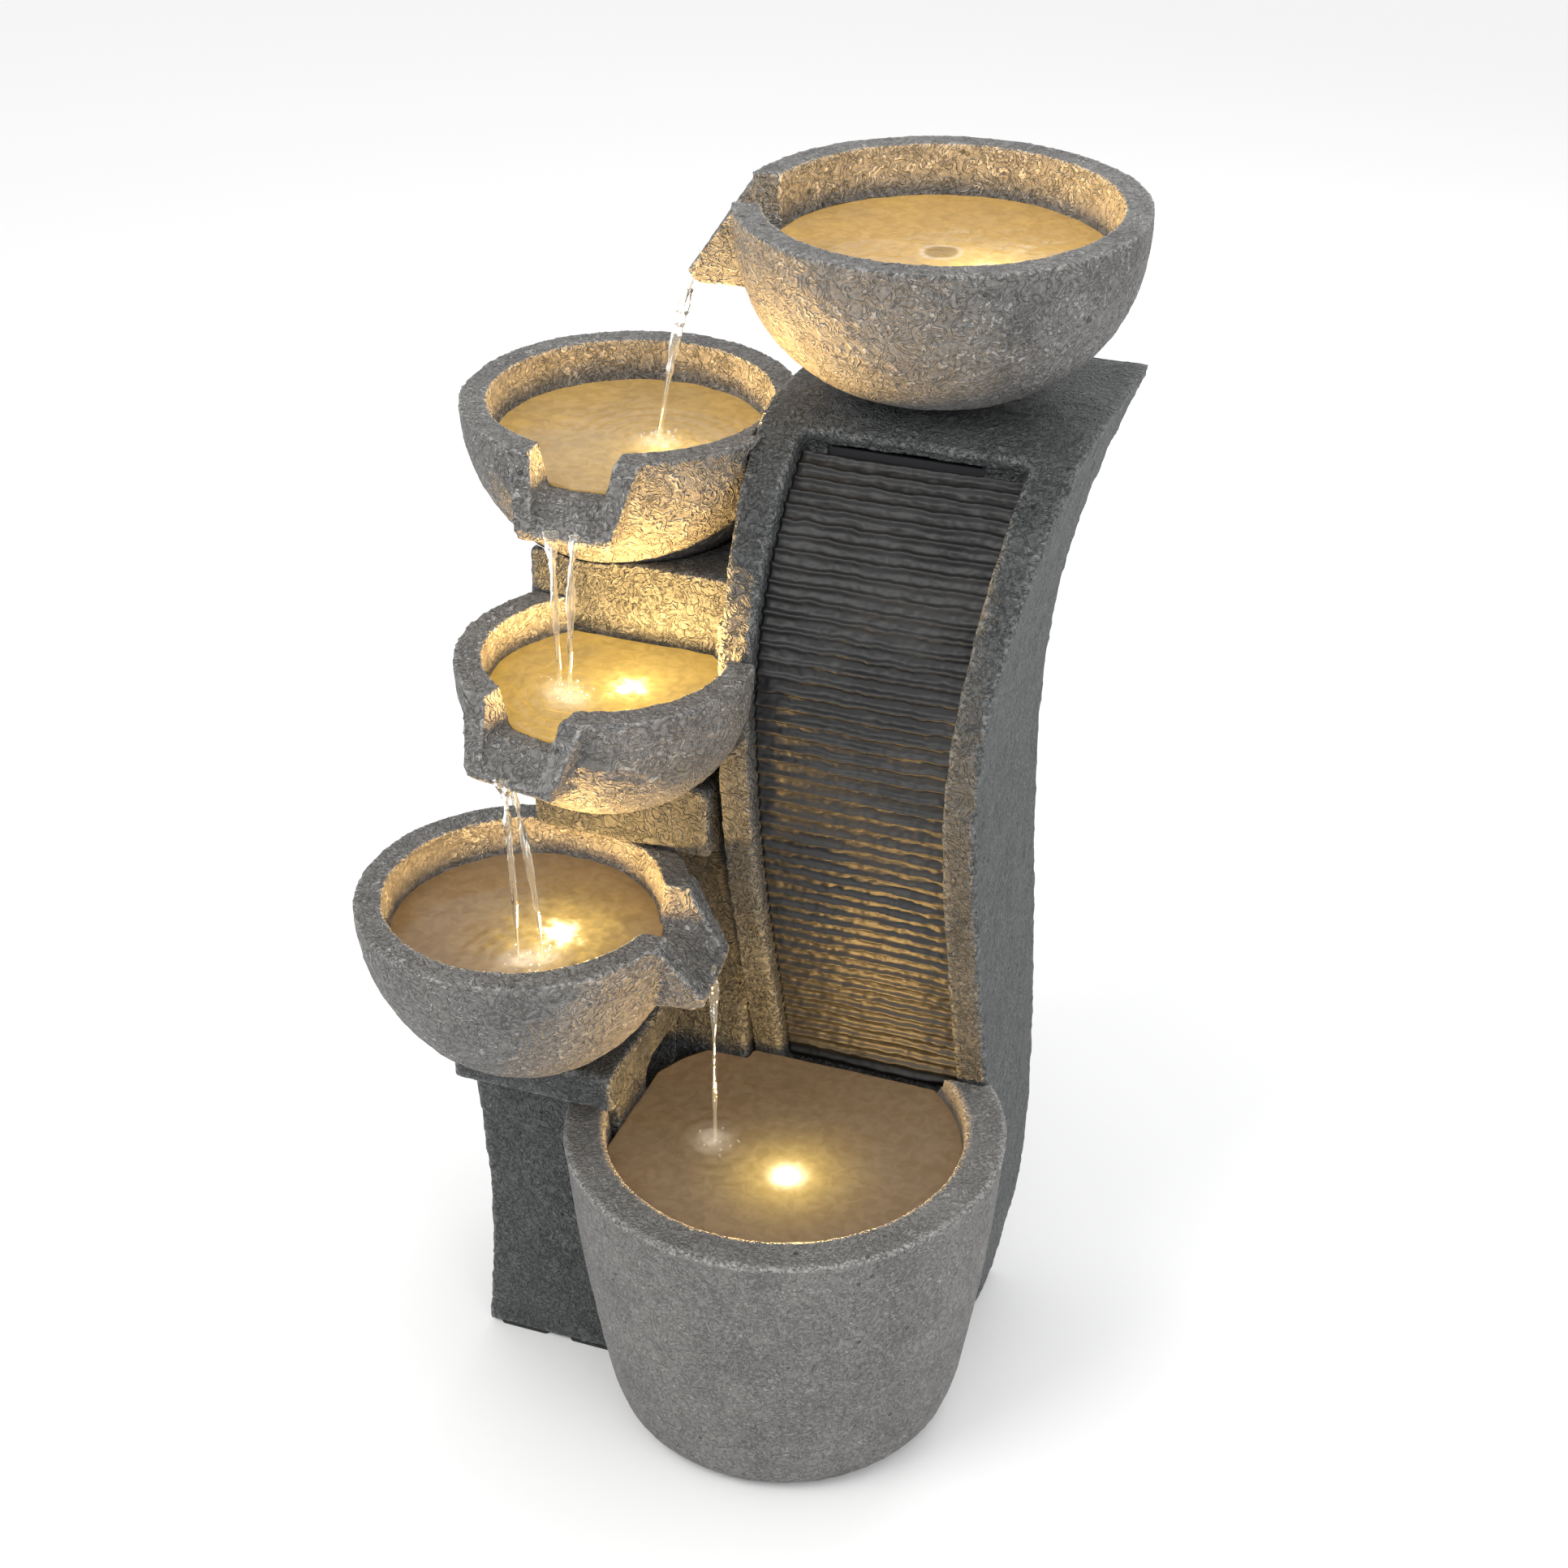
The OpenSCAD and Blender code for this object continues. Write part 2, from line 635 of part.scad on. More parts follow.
module door_gasket() color(RUBBER) difference() {
    door_shape(door_gap + 0.6, door_t + 0.1, door_t + gasket_t - 0.2);
    door_shape(door_gap + 4.4, 0, 20);
}

module door_knob() color(PLASTIC) {
    zc = door_z + door_h / 2;
    yk = back(zc) + 1.4;
    rod_y(0, zc, back(zc) - door_t - 3, yk + 1, 6);
    rod_y(0, zc, yk, yk + 6, 12);
    rod_y(0, zc, yk + 5.9, yk + 13, 22);
}

// ---------- pump ----------

module pump_round(d, y0, y1) {
    rod_y(pump_c[0], pump_c[2], y0, y1, d);
}
module pump_box(x0, x1, y0, y1, z0, z1) {
    box_at([pump_c[0] + x0, y0, pump_c[2] + z0], [pump_c[0] + x1, y1, pump_c[2] + z1]);
}
pump_front = pump_c[1] - pump_deep / 2;
pump_back = pump_c[1] + pump_deep / 2;
cover_front = pump_front - cover_t;
pw = pump_w / 2;
ph = pump_hh / 2;

module pump_body() color(PLASTIC) difference() {
    union() {
        pump_box(-pw, pw, pump_front, pump_back, -ph, ph);
        // outlet barb
        translate([pump_c[0], spigot_y, pump_top - 1]) cylinder(d = barb_d, h = 15);
        // lead boss
        rod_y(pump_c[0] + 16, pump_c[2], pump_back - 1, pump_back + 5, 9);
    }
    // impeller chamber, outlet bore, shaft seat, seal groove, socket of the lead
    pump_round(chamber_d, pump_front - 1, pump_front + 20);
    translate([pump_c[0], spigot_y, pump_c[2]]) cylinder(d = barb_d - 3, h = 60);
    pump_round(shaft_d, pump_front + 10, pump_front + 28);
    rod_y(pump_c[0] + 16, pump_c[2], pump_back - 3, pump_back + 8, 2 * lead_r + 1.6);
    difference() {
        pump_round(chamber_d + 9, pump_front - 1, pump_front + 1.5);
        pump_round(chamber_d + 4, pump_front - 2, pump_front + 2);
    }
}

module pump_shaft() color(STEEL) pump_round(shaft_d, pump_front - 2, pump_front + 28);

module pump_impeller() color([0.85, 0.85, 0.83]) difference() {
    union() {
        pump_round(impeller_d - 8, pump_front + 7, pump_front + 19);
        pump_round(7, pump_front + 0.6, pump_front + 8);
        for (k = [0 : 3]) translate([pump_c[0], 0, pump_c[2]]) rotate([0, 90 * k, 0])
            box_at([0, pump_front + 0.8, -1], [impeller_d / 2, pump_front + 7.5, 1]);
    }
    pump_round(shaft_d + 2 * run_clear, pump_front - 4, pump_front + 30);
}

module pump_seal() color(RUBBER) difference() {
    pump_round(chamber_d + 9, pump_front, pump_front + 1.5);
    pump_round(chamber_d + 4, pump_front - 2, pump_front + 4);
}

module pump_cover() color(PLASTIC) difference() {
    pump_box(-pw, pw, cover_front, pump_front, -ph, ph);
    // intake ports, the port under the slider, shaft seat, groove the slider runs in
    for (k = [45 : 90 : 315])
        rod_y(pump_c[0] + 6.5 * cos(k), pump_c[2] + 6.5 * sin(k), cover_front - 1, pump_front + 1, 6);
    pump_box(-4, 4, cover_front - 1, pump_front + 1, 10.9, 13.2);
    pump_round(shaft_d, pump_front - 2, pump_front + 1);
    pump_box(-12 - slider_travel, 13, cover_front - 1, cover_front + 3, 10, 15);
}

module flow_slider() color([0.75, 0.75, 0.72]) {
    pump_box(-11, 7, cover_front + 0.3, cover_front + 2.7, 10.3, 14.7);
    pump_box(-2, 2, cover_front - 6, cover_front + 0.4, 11, 14);
}

// strainer: a slotted cap over the intake
module pump_strainer() color(PLASTIC) difference() {
    pump_box(-pw, pw, cover_front - strainer_t, cover_front - 0.3, -ph, ph);
    pump_box(-pw + 2.5, pw - 2.5, cover_front - strainer_t + 2.5, cover_front + 1, -ph + 2.5, ph - 2.5);
    for (k = [-4 : 4])
        pump_box(k * 5 - 1.2, k * 5 + 1.2, cover_front - strainer_t - 1, cover_front - strainer_t + 4,
                 -ph + 6, ph - 6);
}

module pump_feet() color(RUBBER) for (sx = [-1, 1]) for (sy = [-1, 1])
    translate([pump_c[0] + sx * 17, pump_c[1] + sy * 10, basin_floor]) {
        cylinder(r1 = 8, r2 = 4, h = 3);
        translate([0, 0, 2.9]) cylinder(r = 3.2, h = pump_c[2] - ph - basin_floor - 2.9);
    }

// ---------- hoses ----------

module riser_hose() color(HOSE) {
    translate([pipe_x, spigot_y, pump_top + 0.2]) hose_run(pass_z - bend_r - pump_top - 0.2 + e);
    hose_bend(spigot_y + bend_r, pass_z - bend_r, 90);
    translate([pipe_x, spigot_y + bend_r - e, pass_z]) rotate([-90, 0, 0])
        hose_run(riser_y - spigot_y - 2 * bend_r + 2 * e);
    hose_bend(riser_y - bend_r, pass_z + bend_r, -90);
    translate([pipe_x, riser_y, pass_z + bend_r - e]) hose_run(tee_z - tee_down - 0.2 - pass_z - bend_r + e);
}

// places its children on the riser, or on the branch that slants up to the top outlet
module tee_arm(z) {
    translate([pipe_x, riser_y, tee_z + z]) children();
}
module branch(s) {
    tee_arm(0) rotate([-45, 0, 0]) translate([0, 0, s]) children();
}

// branch piece at the top of the riser
module hose_tee() color(PLASTIC) difference() {
    union() {
        tee_arm(-tee_down) cylinder(d = hose_d + 2, h = tee_down + tee_up);
        tee_arm(-tee_down - 14) cylinder(d = barb_d, h = tee_down + tee_up + 23);
        branch(2) cylinder(d = barb_d, h = 31);
    }
    tee_arm(-tee_down - 15) cylinder(d = barb_d - 3, h = tee_down + tee_up + 25);
    branch(0) cylinder(d = barb_d - 4, h = 34);
}

slant = norm([top_c[1] - riser_y, tail_z - tee_z]);
module top_hose() color(HOSE)
    branch(20) hose_run(slant - 20 - 13);

module weir_hose() color(HOSE)
    tee_arm(tee_up + 0.2) hose_run(trough_z - tee_z - tee_up - 0.4);

module clamp() {
    difference() {
        union() {
            cylinder(d = hose_d + 2.4, h = 7);
            translate([hose_d / 2 + 0.4, -2.5, 0.5]) cube([4.5, 5, 6]);
        }
        translate([0, 0, -1]) cylinder(d = hose_d + 0.04, h = 9);
    }
}
module hose_clamps() color(STEEL) {
    translate([pipe_x, spigot_y, pump_top + 4]) clamp();
    tee_arm(-tee_down - 11) clamp();
    tee_arm(tee_up + 1) clamp();
    branch(23) clamp();
    branch(slant - 24) clamp();
}

// ---------- top outlet ----------

outlet_top = top_c[2] - 37;
module outlet_pipe() color(PLASTIC) difference() {
    union() {
        translate([pipe_x, top_c[1], tail_z - 3]) cylinder(d = outlet_d, h = outlet_top - tail_z + 3);
        translate([pipe_x, top_c[1], pipe_seat + 2]) cylinder(d = outlet_d + 12, h = 3);
        translate([pipe_x, top_c[1], tail_z]) rotate([135, 0, 0]) cylinder(d = barb_d, h = 28);
    }
    translate([pipe_x, top_c[1], tail_z]) cylinder(d = outlet_d - 2 * outlet_t, h = 200);
    translate([pipe_x, top_c[1], tail_z]) rotate([135, 0, 0]) cylinder(d = barb_d - 3, h = 30);
}
module outlet_washer() color(RUBBER) translate([pipe_x, top_c[1], pipe_seat]) difference() {
    cylinder(d = outlet_d + 12, h = 2);
    translate([0, 0, -1]) cylinder(d = outlet_d + 0.1, h = 6);
}
module outlet_nut() color(PLASTIC) translate([pipe_x, top_c[1], plate_z - 8.1]) difference() {
    cylinder(d = outlet_d + 10, h = 8, $fn = 6);
    translate([0, 0, -1]) cylinder(d = outlet_d + 0.1, h = 12);
}

// ---------- bowl fixings ----------

module bowl_bolts() color(STEEL) for (i = [0 : 2]) translate(bolt_at[i]) {
    translate([0, 0, 1.7]) cylinder(d = bolt_d * 1.85, h = 5.5, $fn = 6);
    translate([0, 0, -bolt_len[i] + 1]) cylinder(d = bolt_d, h = bolt_len[i] + 1);
}
module bowl_washers() color(STEEL) for (i = [0 : 2]) translate(bolt_at[i]) difference() {
    translate([0, 0, 0.05]) cylinder(d = bolt_d * 2.1, h = 1.6);
    translate([0, 0, -1]) cylinder(d = bolt_d + 0.1, h = 4);
}

// ---------- lights ----------

module light_housings() color(PLASTIC) for (p = light_at) translate(p + [0, 0, 0.05]) difference() {
    cylinder(d = light_d, h = light_h);
    translate([0, 0, 3]) cylinder(d = light_d - 5, h = light_h);
    translate([0, 0, -1]) cylinder(d = 2 * lead_r + 2, h = 6);
    // the floor light's lead leaves sideways
    if (p == light_at[4]) rod_y(0, 6.5, -20, 0, 2 * lead_r + 2);
}
module light_seals() color(RUBBER) for (p = light_at) translate(p + [0, 0, light_h - 5]) difference() {
    cylinder(d = light_d - 5.1, h = 1.5);
    translate([0, 0, -1]) cylinder(d = light_d - 10, h = 4);
}
module light_lenses() color(AMBER) for (p = light_at) translate(p + [0, 0, light_h - 3.4]) {
    cylinder(d = light_d - 5.1, h = 3.4);
    translate([0, 0, 3.3]) cylinder(d1 = light_d - 8, d2 = light_d - 16, h = 2.5);
}

// ---------- wiring ----------

box_lo = [hollow_x - 23, 48, 290];
box_hi = [hollow_x - 0.1, 84, 330];
in_y = 58;
module light_leads() color(HOSE) {
    a = light_at;
    sweep([[a[0][0], a[0][1], a[0][2] + 4], [a[0][0], a[0][1], tower_h - 18], [30, 100, tower_h - 36],
           [30, 90, tower_h - 60], [30, 80, tower_h - 85], [31, 76, 480], [34, 76, 400], [46, 74, 350],
           [50, 74, 322]], lead_r);
    sweep([[a[1][0], a[1][1], a[1][2] + 4], [a[1][0], a[1][1], 466], [-138, 65, 436], [-122, 60, 418],
           [-120, 60, 380], [-112, in_y, 350], [-98, in_y, 339], [-60, in_y, 339], [20, 54, 344],
           [42, 56, 348], [48, 60, 340], [48, 60, 322]], lead_r);
    sweep([[a[2][0], a[2][1], a[2][2] + 4], [a[2][0], a[2][1], 392], [a[2][0], a[2][1] + 3, 386],
           [a[2][0], a[2][1] + 10, 384], [a[2][0], 22, 384], [-122, 48, 366], [-108, in_y - 4, 342],
           [-96, in_y - 3, 334], [-60, in_y - 3, 334], [20, 50, 338], [42, 52, 342], [52, 54, 338],
           [53, 55, 322]], lead_r);
    sweep([[a[3][0], a[3][1], a[3][2] + 4], [a[3][0], a[3][1], 237], [-155, -81, 231], [-155, -74, 230],
           [-155, -66, 230], [-155, -61, 226], [-155, -60, 218], [-155, -60, 140], [-166, -46, 70],
           [-178, -26, 44], [-180, -14, 40], [-180, 20, 40], [-170, 44, 60], [-130, 54, 200],
           [-106, in_y + 4, 310], [-96, in_y + 3, 332], [-60, in_y + 3, 332], [10, 60, 334],
           [36, 64, 340], [55, 68, 338], [56, 68, 322]], lead_r);
    sweep([[a[4][0], a[4][1] - 11, 20.1], [a[4][0], a[4][1] - 18, 20.1], [0, -120, 19],
           [28, -108, 18.5], [44, -80, 22], [44, -48, 30], [40, -16, 40], [32, 4, 76], [24, 14, 104],
           [20.5, 22, pass_z], [20.5, 46, pass_z], [24, 54, 124], [38, 56, 180], [50, 60, 250],
           [52, 62, 298]], lead_r);
}
module pump_lead() color(HOSE)
    sweep([[pump_c[0] + 16, pump_back - 2, pump_c[2]], [pump_c[0] + 16, pump_back + 8, pump_c[2]],
           [12, 2, 46], [12.5, 9, 70], [14, 14, 98], [15.5, 22, pass_z], [15.5, 46, pass_z],
           [22, 60, 128], [40, 66, 190], [50, 70, 250], [52, 72, 298]], lead_r);

module junction_box() color(PLASTIC) difference() {
    box_at(box_lo, box_hi);
    box_at(box_lo + [-1, 2.5, 2.5], box_hi - [2.5, 2.5, 2.5]);
    for (p = [[50, 74], [48, 60], [53, 55], [56, 68]])
        translate([p[0], p[1], 324]) cylinder(d = 2 * lead_r + 2.6, h = 10);
    for (p = [[52, 62], [52, 72]])
        translate([p[0] - 0.15, p[1] - 0.2, 284]) cylinder(d = 2 * lead_r + 1.8, h = 10);
}
module junction_lid() color([0.16, 0.16, 0.17])
    box_at([box_lo[0] - 2.1, box_lo[1], box_lo[2]], [box_lo[0] - 0.1, box_hi[1], box_hi[2]]);

// ---------- small parts ----------

module grommet(x, d_in, d_hole) {
    y0 = face(pass_z);
    difference() {
        union() {
            rod_y(x, pass_z, y0 - 6, y0 + wall + 3, d_hole - 0.2);
            rod_y(x, pass_z, y0 - 6, y0 - 2.6, d_hole + 4);
        }
        rod_y(x, pass_z, y0 - 10, y0 + 40, d_in);
    }
}
module wall_grommet() color(RUBBER) {
    grommet(pipe_x, hose_d + 0.2, hose_d + 6);
    grommet(lead_x, 10.4, 14);
}

module cord_gland() color(PLASTIC) difference() {
    union() {
        rod_y(gland_x, gland_z, back(gland_z) - wall - 6, back(gland_z) + 4, 15.6);
        rod_y(gland_x, gland_z, back(gland_z) + 3.4, back(gland_z) + 10, 21);
        rod_y(gland_x, gland_z, back(gland_z) - wall - 11, back(gland_z) - wall - 5, 20);
    }
    rod_y(gland_x, gland_z, 60, 160, 7);
}

// a round-ended strip under a wall, along X
module pad_strip(x, y, len_) {
    for (dx = [3, len_ - 3]) translate([x + dx, y, 0]) cylinder(d = 6, h = pad_t - 0.02);
    box_at([x + 3, y - 3, 0], [x + len_ - 3, y + 3, pad_t - 0.02]);
}
module foot_pads() color(RUBBER) {
    for (p = pads_basin) translate([p[0], p[1], 0]) cylinder(d = 22, h = 3.9);
    for (x = [-58, 16]) pad_strip(x, 72, 42);
    for (x = [col_left + 8, col_right - 48]) pad_strip(x, col_back - 4, 40);
    for (x = [pier_left + 8, pier_right - 42]) pad_strip(x, pier_front + 4, 34);
}

tower_shell();
water_wall();
weir_trough();
basin();
lower_pier();
lower_cap();
middle_pier();
upper_pier();
top_bowl();
upper_bowl();
middle_bowl();
lower_bowl();
rear_door();
door_gasket();
door_knob();
pump_body();
pump_shaft();
pump_impeller();
pump_seal();
pump_cover();
pump_strainer();
flow_slider();
pump_feet();
riser_hose();
hose_tee();
top_hose();
weir_hose();
hose_clamps();
outlet_pipe();
outlet_nut();
outlet_washer();
bowl_bolts();
bowl_washers();
light_housings();
light_lenses();
light_seals();
light_leads();
pump_lead();
junction_box();
junction_lid();
wall_grommet();
cord_gland();
foot_pads();
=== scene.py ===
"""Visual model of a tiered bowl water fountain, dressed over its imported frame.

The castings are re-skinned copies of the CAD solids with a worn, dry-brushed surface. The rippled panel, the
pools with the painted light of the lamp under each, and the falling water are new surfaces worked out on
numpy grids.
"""

import logging
import math
from dataclasses import dataclass, field
from enum import Enum
from functools import partial

import bpy
import numpy as np
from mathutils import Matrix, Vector


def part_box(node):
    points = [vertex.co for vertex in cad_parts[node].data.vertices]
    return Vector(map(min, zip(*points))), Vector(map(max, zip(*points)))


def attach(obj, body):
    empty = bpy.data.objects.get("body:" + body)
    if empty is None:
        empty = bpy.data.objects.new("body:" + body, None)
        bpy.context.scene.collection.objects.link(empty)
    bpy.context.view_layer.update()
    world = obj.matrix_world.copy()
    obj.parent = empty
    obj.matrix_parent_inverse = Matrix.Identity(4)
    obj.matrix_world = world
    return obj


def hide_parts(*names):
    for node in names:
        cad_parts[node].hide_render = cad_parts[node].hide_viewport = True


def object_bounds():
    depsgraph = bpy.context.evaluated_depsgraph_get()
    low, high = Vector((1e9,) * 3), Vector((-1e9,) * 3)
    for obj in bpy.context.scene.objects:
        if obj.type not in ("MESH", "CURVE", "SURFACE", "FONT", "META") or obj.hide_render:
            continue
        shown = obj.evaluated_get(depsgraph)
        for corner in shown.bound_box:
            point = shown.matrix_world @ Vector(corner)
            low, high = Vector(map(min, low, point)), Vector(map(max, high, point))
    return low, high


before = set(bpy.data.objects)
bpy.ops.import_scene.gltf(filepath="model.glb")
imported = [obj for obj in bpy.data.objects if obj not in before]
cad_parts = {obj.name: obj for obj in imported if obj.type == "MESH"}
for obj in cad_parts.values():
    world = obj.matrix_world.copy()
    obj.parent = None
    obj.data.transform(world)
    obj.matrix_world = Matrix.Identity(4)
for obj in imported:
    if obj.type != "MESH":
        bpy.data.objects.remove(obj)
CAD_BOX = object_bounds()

LOG = logging.getLogger("fountain")
MM = 0.001
BODY = "fountain"
PAD_TOP = 2 * MM
POOL_SKIN = 4 * MM
NODES: dict[str, bpy.types.Object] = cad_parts
Colour = tuple[float, float, float]
Point = tuple[float, float, float]
Socket = bpy.types.NodeSocket


# ---------- numpy surfaces ----------


def lattice_noise(points: np.ndarray, scale: float, seed: int = 0) -> np.ndarray:
    """Smooth noise in -1..1.

    A hashed value stands at each corner of a cubic lattice and is blended across the cell by 3t^2 - 2t^3.

    Args:
        points: positions, one row each, in metres.
        scale: lattice cells per metre.
        seed: which field of noise.

    Returns:
        One value per point.
    """
    p = points * scale + 37.7 * (seed + 1)
    cell = np.floor(p).astype(np.int64)
    t = p - cell
    t = t * t * (3 - 2 * t)
    total = np.zeros(len(p))
    for corner in np.ndindex(2, 2, 2):
        c = cell + np.array(corner)
        h = (c[:, 0] * 73856093) ^ (c[:, 1] * 19349663) ^ (c[:, 2] * 83492791) ^ (seed * 2654435)
        h = (h ^ (h >> 13)) * 1274126177
        value = ((h ^ (h >> 16)) & 0xFFFF) / 32767.5 - 1
        weight = np.prod(np.where(np.array(corner) == 1, t, 1 - t), axis=1)
        total += value * weight
    return total


def fractal_noise(points: np.ndarray, scale: float, octaves: int, seed: int = 0) -> np.ndarray:
    """Octaves of lattice noise, each twice as fine and half as strong as the one before.

    Args:
        points: positions, one row each, in metres.
        scale: cells per metre of the first octave.
        octaves: how many layers.
        seed: which field of noise.

    Returns:
        One value per point, about -1..1.
    """
    layers = [lattice_noise(points, scale * 2**k, seed + k) / 2**k for k in range(octaves)]
    return np.sum(layers, axis=0)


def grid_faces(rows: int, cols: int, wrap: bool = False) -> np.ndarray:
    """Quads of a grid of rows by cols points, with the columns joined round when wrap is set.

    Args:
        rows: points along the first parameter.
        cols: points along the second parameter.
        wrap: whether the last column meets the first.

    Returns:
        Four point numbers per quad.
    """
    i, j = np.meshgrid(np.arange(rows - 1), np.arange(cols if wrap else cols - 1), indexing="ij")
    a = i * cols + j
    b = i * cols + (j + 1) % cols
    return np.stack([a, b, b + cols, a + cols], axis=-1).reshape(-1, 4)


def put_mesh(
    name: str, points: np.ndarray, faces: list[np.ndarray], material: bpy.types.Material
) -> bpy.types.Object:
    """A smooth-shaded mesh object at the world origin.

    Args:
        name: the piece's name.
        points: positions in metres.
        faces: blocks of faces, each with one row of point numbers per face.
        material: the piece's finish.

    Returns:
        The new object, linked to the scene.
    """
    mesh = bpy.data.meshes.new(name)
    mesh.from_pydata(points.tolist(), [], sum((block.tolist() for block in faces), []))
    mesh.polygons.foreach_set("use_smooth", np.ones(len(mesh.polygons), dtype=bool))
    mesh.materials.append(material)
    mesh.update()
    made = bpy.data.objects.new(name, mesh)
    bpy.context.scene.collection.objects.link(made)
    return made


def paint(piece: bpy.types.Object, name: str, colours: np.ndarray) -> None:
    """Stores one colour per point as a float colour attribute.

    Args:
        piece: the mesh object.
        name: the attribute's name.
        colours: three values per point.
    """
    layer = piece.data.color_attributes.new(name, "FLOAT_COLOR", "POINT")
    full = np.concatenate([colours, np.ones((len(colours), 1))], axis=1)
    layer.data.foreach_set("color", full.astype(np.float32).ravel())


def settle(piece: bpy.types.Object, body: str, slot: str, *nodes: str) -> None:
    """Rides the piece on its body and hides the CAD nodes it stands for.

    Args:
        piece: the mesh object.
        body: the body that carries it.
        slot: its material slot; not used.
        nodes: the CAD nodes it replaces, if any.
    """
    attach(piece, body)
    if nodes:
        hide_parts(*nodes)
    LOG.info("piece %s on %s", piece.name, body)


def tube_points(path: np.ndarray, radii: np.ndarray, sides: int) -> np.ndarray:
    """A circle of the given radius carried along a path, each one square to the path's direction.

    Args:
        path: the centre line, one row per ring.
        radii: one radius per ring, or one row of radii per ring.
        sides: points round each ring.

    Returns:
        rings * sides points.
    """
    along = np.gradient(path, axis=0)
    along /= np.linalg.norm(along, axis=1, keepdims=True)
    side = np.cross(along, np.array([0.0, 1.0, 0.02]))
    side /= np.linalg.norm(side, axis=1, keepdims=True)
    up = np.cross(side, along)
    turn = np.linspace(0, 2 * np.pi, sides, endpoint=False)
    radii = radii if radii.ndim == 2 else radii[:, None]
    ring = np.cos(turn)[None, :, None] * side[:, None, :] + np.sin(turn)[None, :, None] * up[:, None, :]
    return (path[:, None, :] + radii[:, :, None] * ring).reshape(-1, 3)


# ---------- shader building ----------


class Shader:
    """A material's node tree with short calls that add and link nodes."""

    def __init__(self, name: str) -> None:
        """Starts a material with one Principled BSDF.

        Args:
            name: the material's name.
        """
        self.material = bpy.data.materials.new(name)
        self.material.use_nodes = True
        self.tree = self.material.node_tree
        self.principled = self.tree.nodes["Principled BSDF"]

    def add(self, kind: str, **settings: object) -> bpy.types.Node:
        """Adds a node.

        Args:
            kind: Blender's name of the node's type.
            settings: its plain properties.

        Returns:
            The new node.
        """
        node = self.tree.nodes.new(kind)
        for key, value in settings.items():
            setattr(node, key, value)
        return node

    def link(self, out: Socket, into: Socket) -> None:
        """Joins an output to an input."""
        self.tree.links.new(out, into)

    def fix(self, **values: object) -> None:
        """Sets constants on the Principled BSDF's own sockets; underscores stand for spaces."""
        for key, value in values.items():
            self.principled.inputs[key.replace("_", " ")].default_value = value

    def coordinates(self) -> Socket:
        """Object coordinates, in metres, the same for every piece because they all sit at the origin."""
        return self.add("ShaderNodeTexCoord").outputs["Object"]

    def relief(self, scale: float) -> bpy.types.Node:
        """The shared cast relief at a scale.

        Args:
            scale: how much finer than its own size the relief is.

        Returns:
            The group node.
        """
        node = self.add("ShaderNodeGroup", node_tree=cast_relief_group())
        self.link(self.coordinates(), node.inputs["Vector"])
        node.inputs["Scale"].default_value = scale
        return node

    def noise(self, vector: Socket, scale: float, detail: float = 2.0, warp: float = 0.0) -> Socket:
        """A noise texture.

        Args:
            vector: its coordinates.
            scale: cells per metre.
            detail: octaves.
            warp: distortion.

        Returns:
            Its value.
        """
        node = self.add("ShaderNodeTexNoise")
        node.inputs["Scale"].default_value = scale
        node.inputs["Detail"].default_value = detail
        node.inputs["Distortion"].default_value = warp
        self.link(vector, node.inputs["Vector"])
        return node.outputs["Fac"]

    def dimmed(self, colour: Socket, shade: Socket, dark: Colour) -> Socket:
        """A colour darkened where a shade is low.

        Args:
            colour: the full colour.
            shade: 1 keeps the colour and 0 multiplies it by dark.
            dark: the multiplier.

        Returns:
            The shaded colour.
        """
        node = self.add("ShaderNodeMix", data_type="RGBA", blend_type="MULTIPLY")
        node.inputs["Factor"].default_value = 1.0
        self.link(colour, node.inputs[6])
        self.link(mix_colour(self.tree, shade, dark, (1.0, 1.0, 1.0)), node.inputs[7])
        return node.outputs[2]

    def gloss(self, value: Socket, lo: float, hi: float) -> None:
        """Lets the roughness follow a value.

        Args:
            value: the driving value.
            lo: roughness at 0.
            hi: roughness at 1.
        """
        node = self.add("ShaderNodeMapRange")
        node.inputs["To Min"].default_value = lo
        node.inputs["To Max"].default_value = hi
        self.link(value, node.inputs["Value"])
        self.link(node.outputs["Result"], self.principled.inputs["Roughness"])

    def bump(self, height: Socket, strength: float, distance: float) -> None:
        """Bumps the surface by a height.

        Args:
            height: the height.
            strength: how much of the bump shows.
            distance: its depth in metres.
        """
        node = self.add("ShaderNodeBump")
        node.inputs["Strength"].default_value = strength
        node.inputs["Distance"].default_value = distance
        self.link(height, node.inputs["Height"])
        self.link(node.outputs["Normal"], self.principled.inputs["Normal"])


def rgba(colour: Colour) -> tuple[float, float, float, float]:
    """A colour with full alpha."""
    return (*colour, 1.0)


def ramp(tree: bpy.types.NodeTree, value: Socket, lo: float, hi: float) -> Socket:
    """A value stretched so that lo becomes 0 and hi becomes 1, clamped and smoothed.

    Args:
        tree: the node tree.
        value: the input value.
        lo: input that gives 0.
        hi: input that gives 1.

    Returns:
        The stretched value.
    """
    node = tree.nodes.new("ShaderNodeMapRange")
    node.interpolation_type = "SMOOTHSTEP"
    node.inputs["From Min"].default_value = lo
    node.inputs["From Max"].default_value = hi
    tree.links.new(value, node.inputs["Value"])
    return node.outputs["Result"]


def math_node(tree: bpy.types.NodeTree, operation: str, a: Socket, b: Socket | float) -> Socket:
    """One arithmetic step on a value, with another value or a number.

    Args:
        tree: the node tree.
        operation: Blender's name of the step.
        a: first value.
        b: second value or number.

    Returns:
        The result.
    """
    node = tree.nodes.new("ShaderNodeMath")
    node.operation = operation
    tree.links.new(a, node.inputs[0])
    if isinstance(b, (int, float)):
        node.inputs[1].default_value = b
    else:
        tree.links.new(b, node.inputs[1])
    return node.outputs[0]


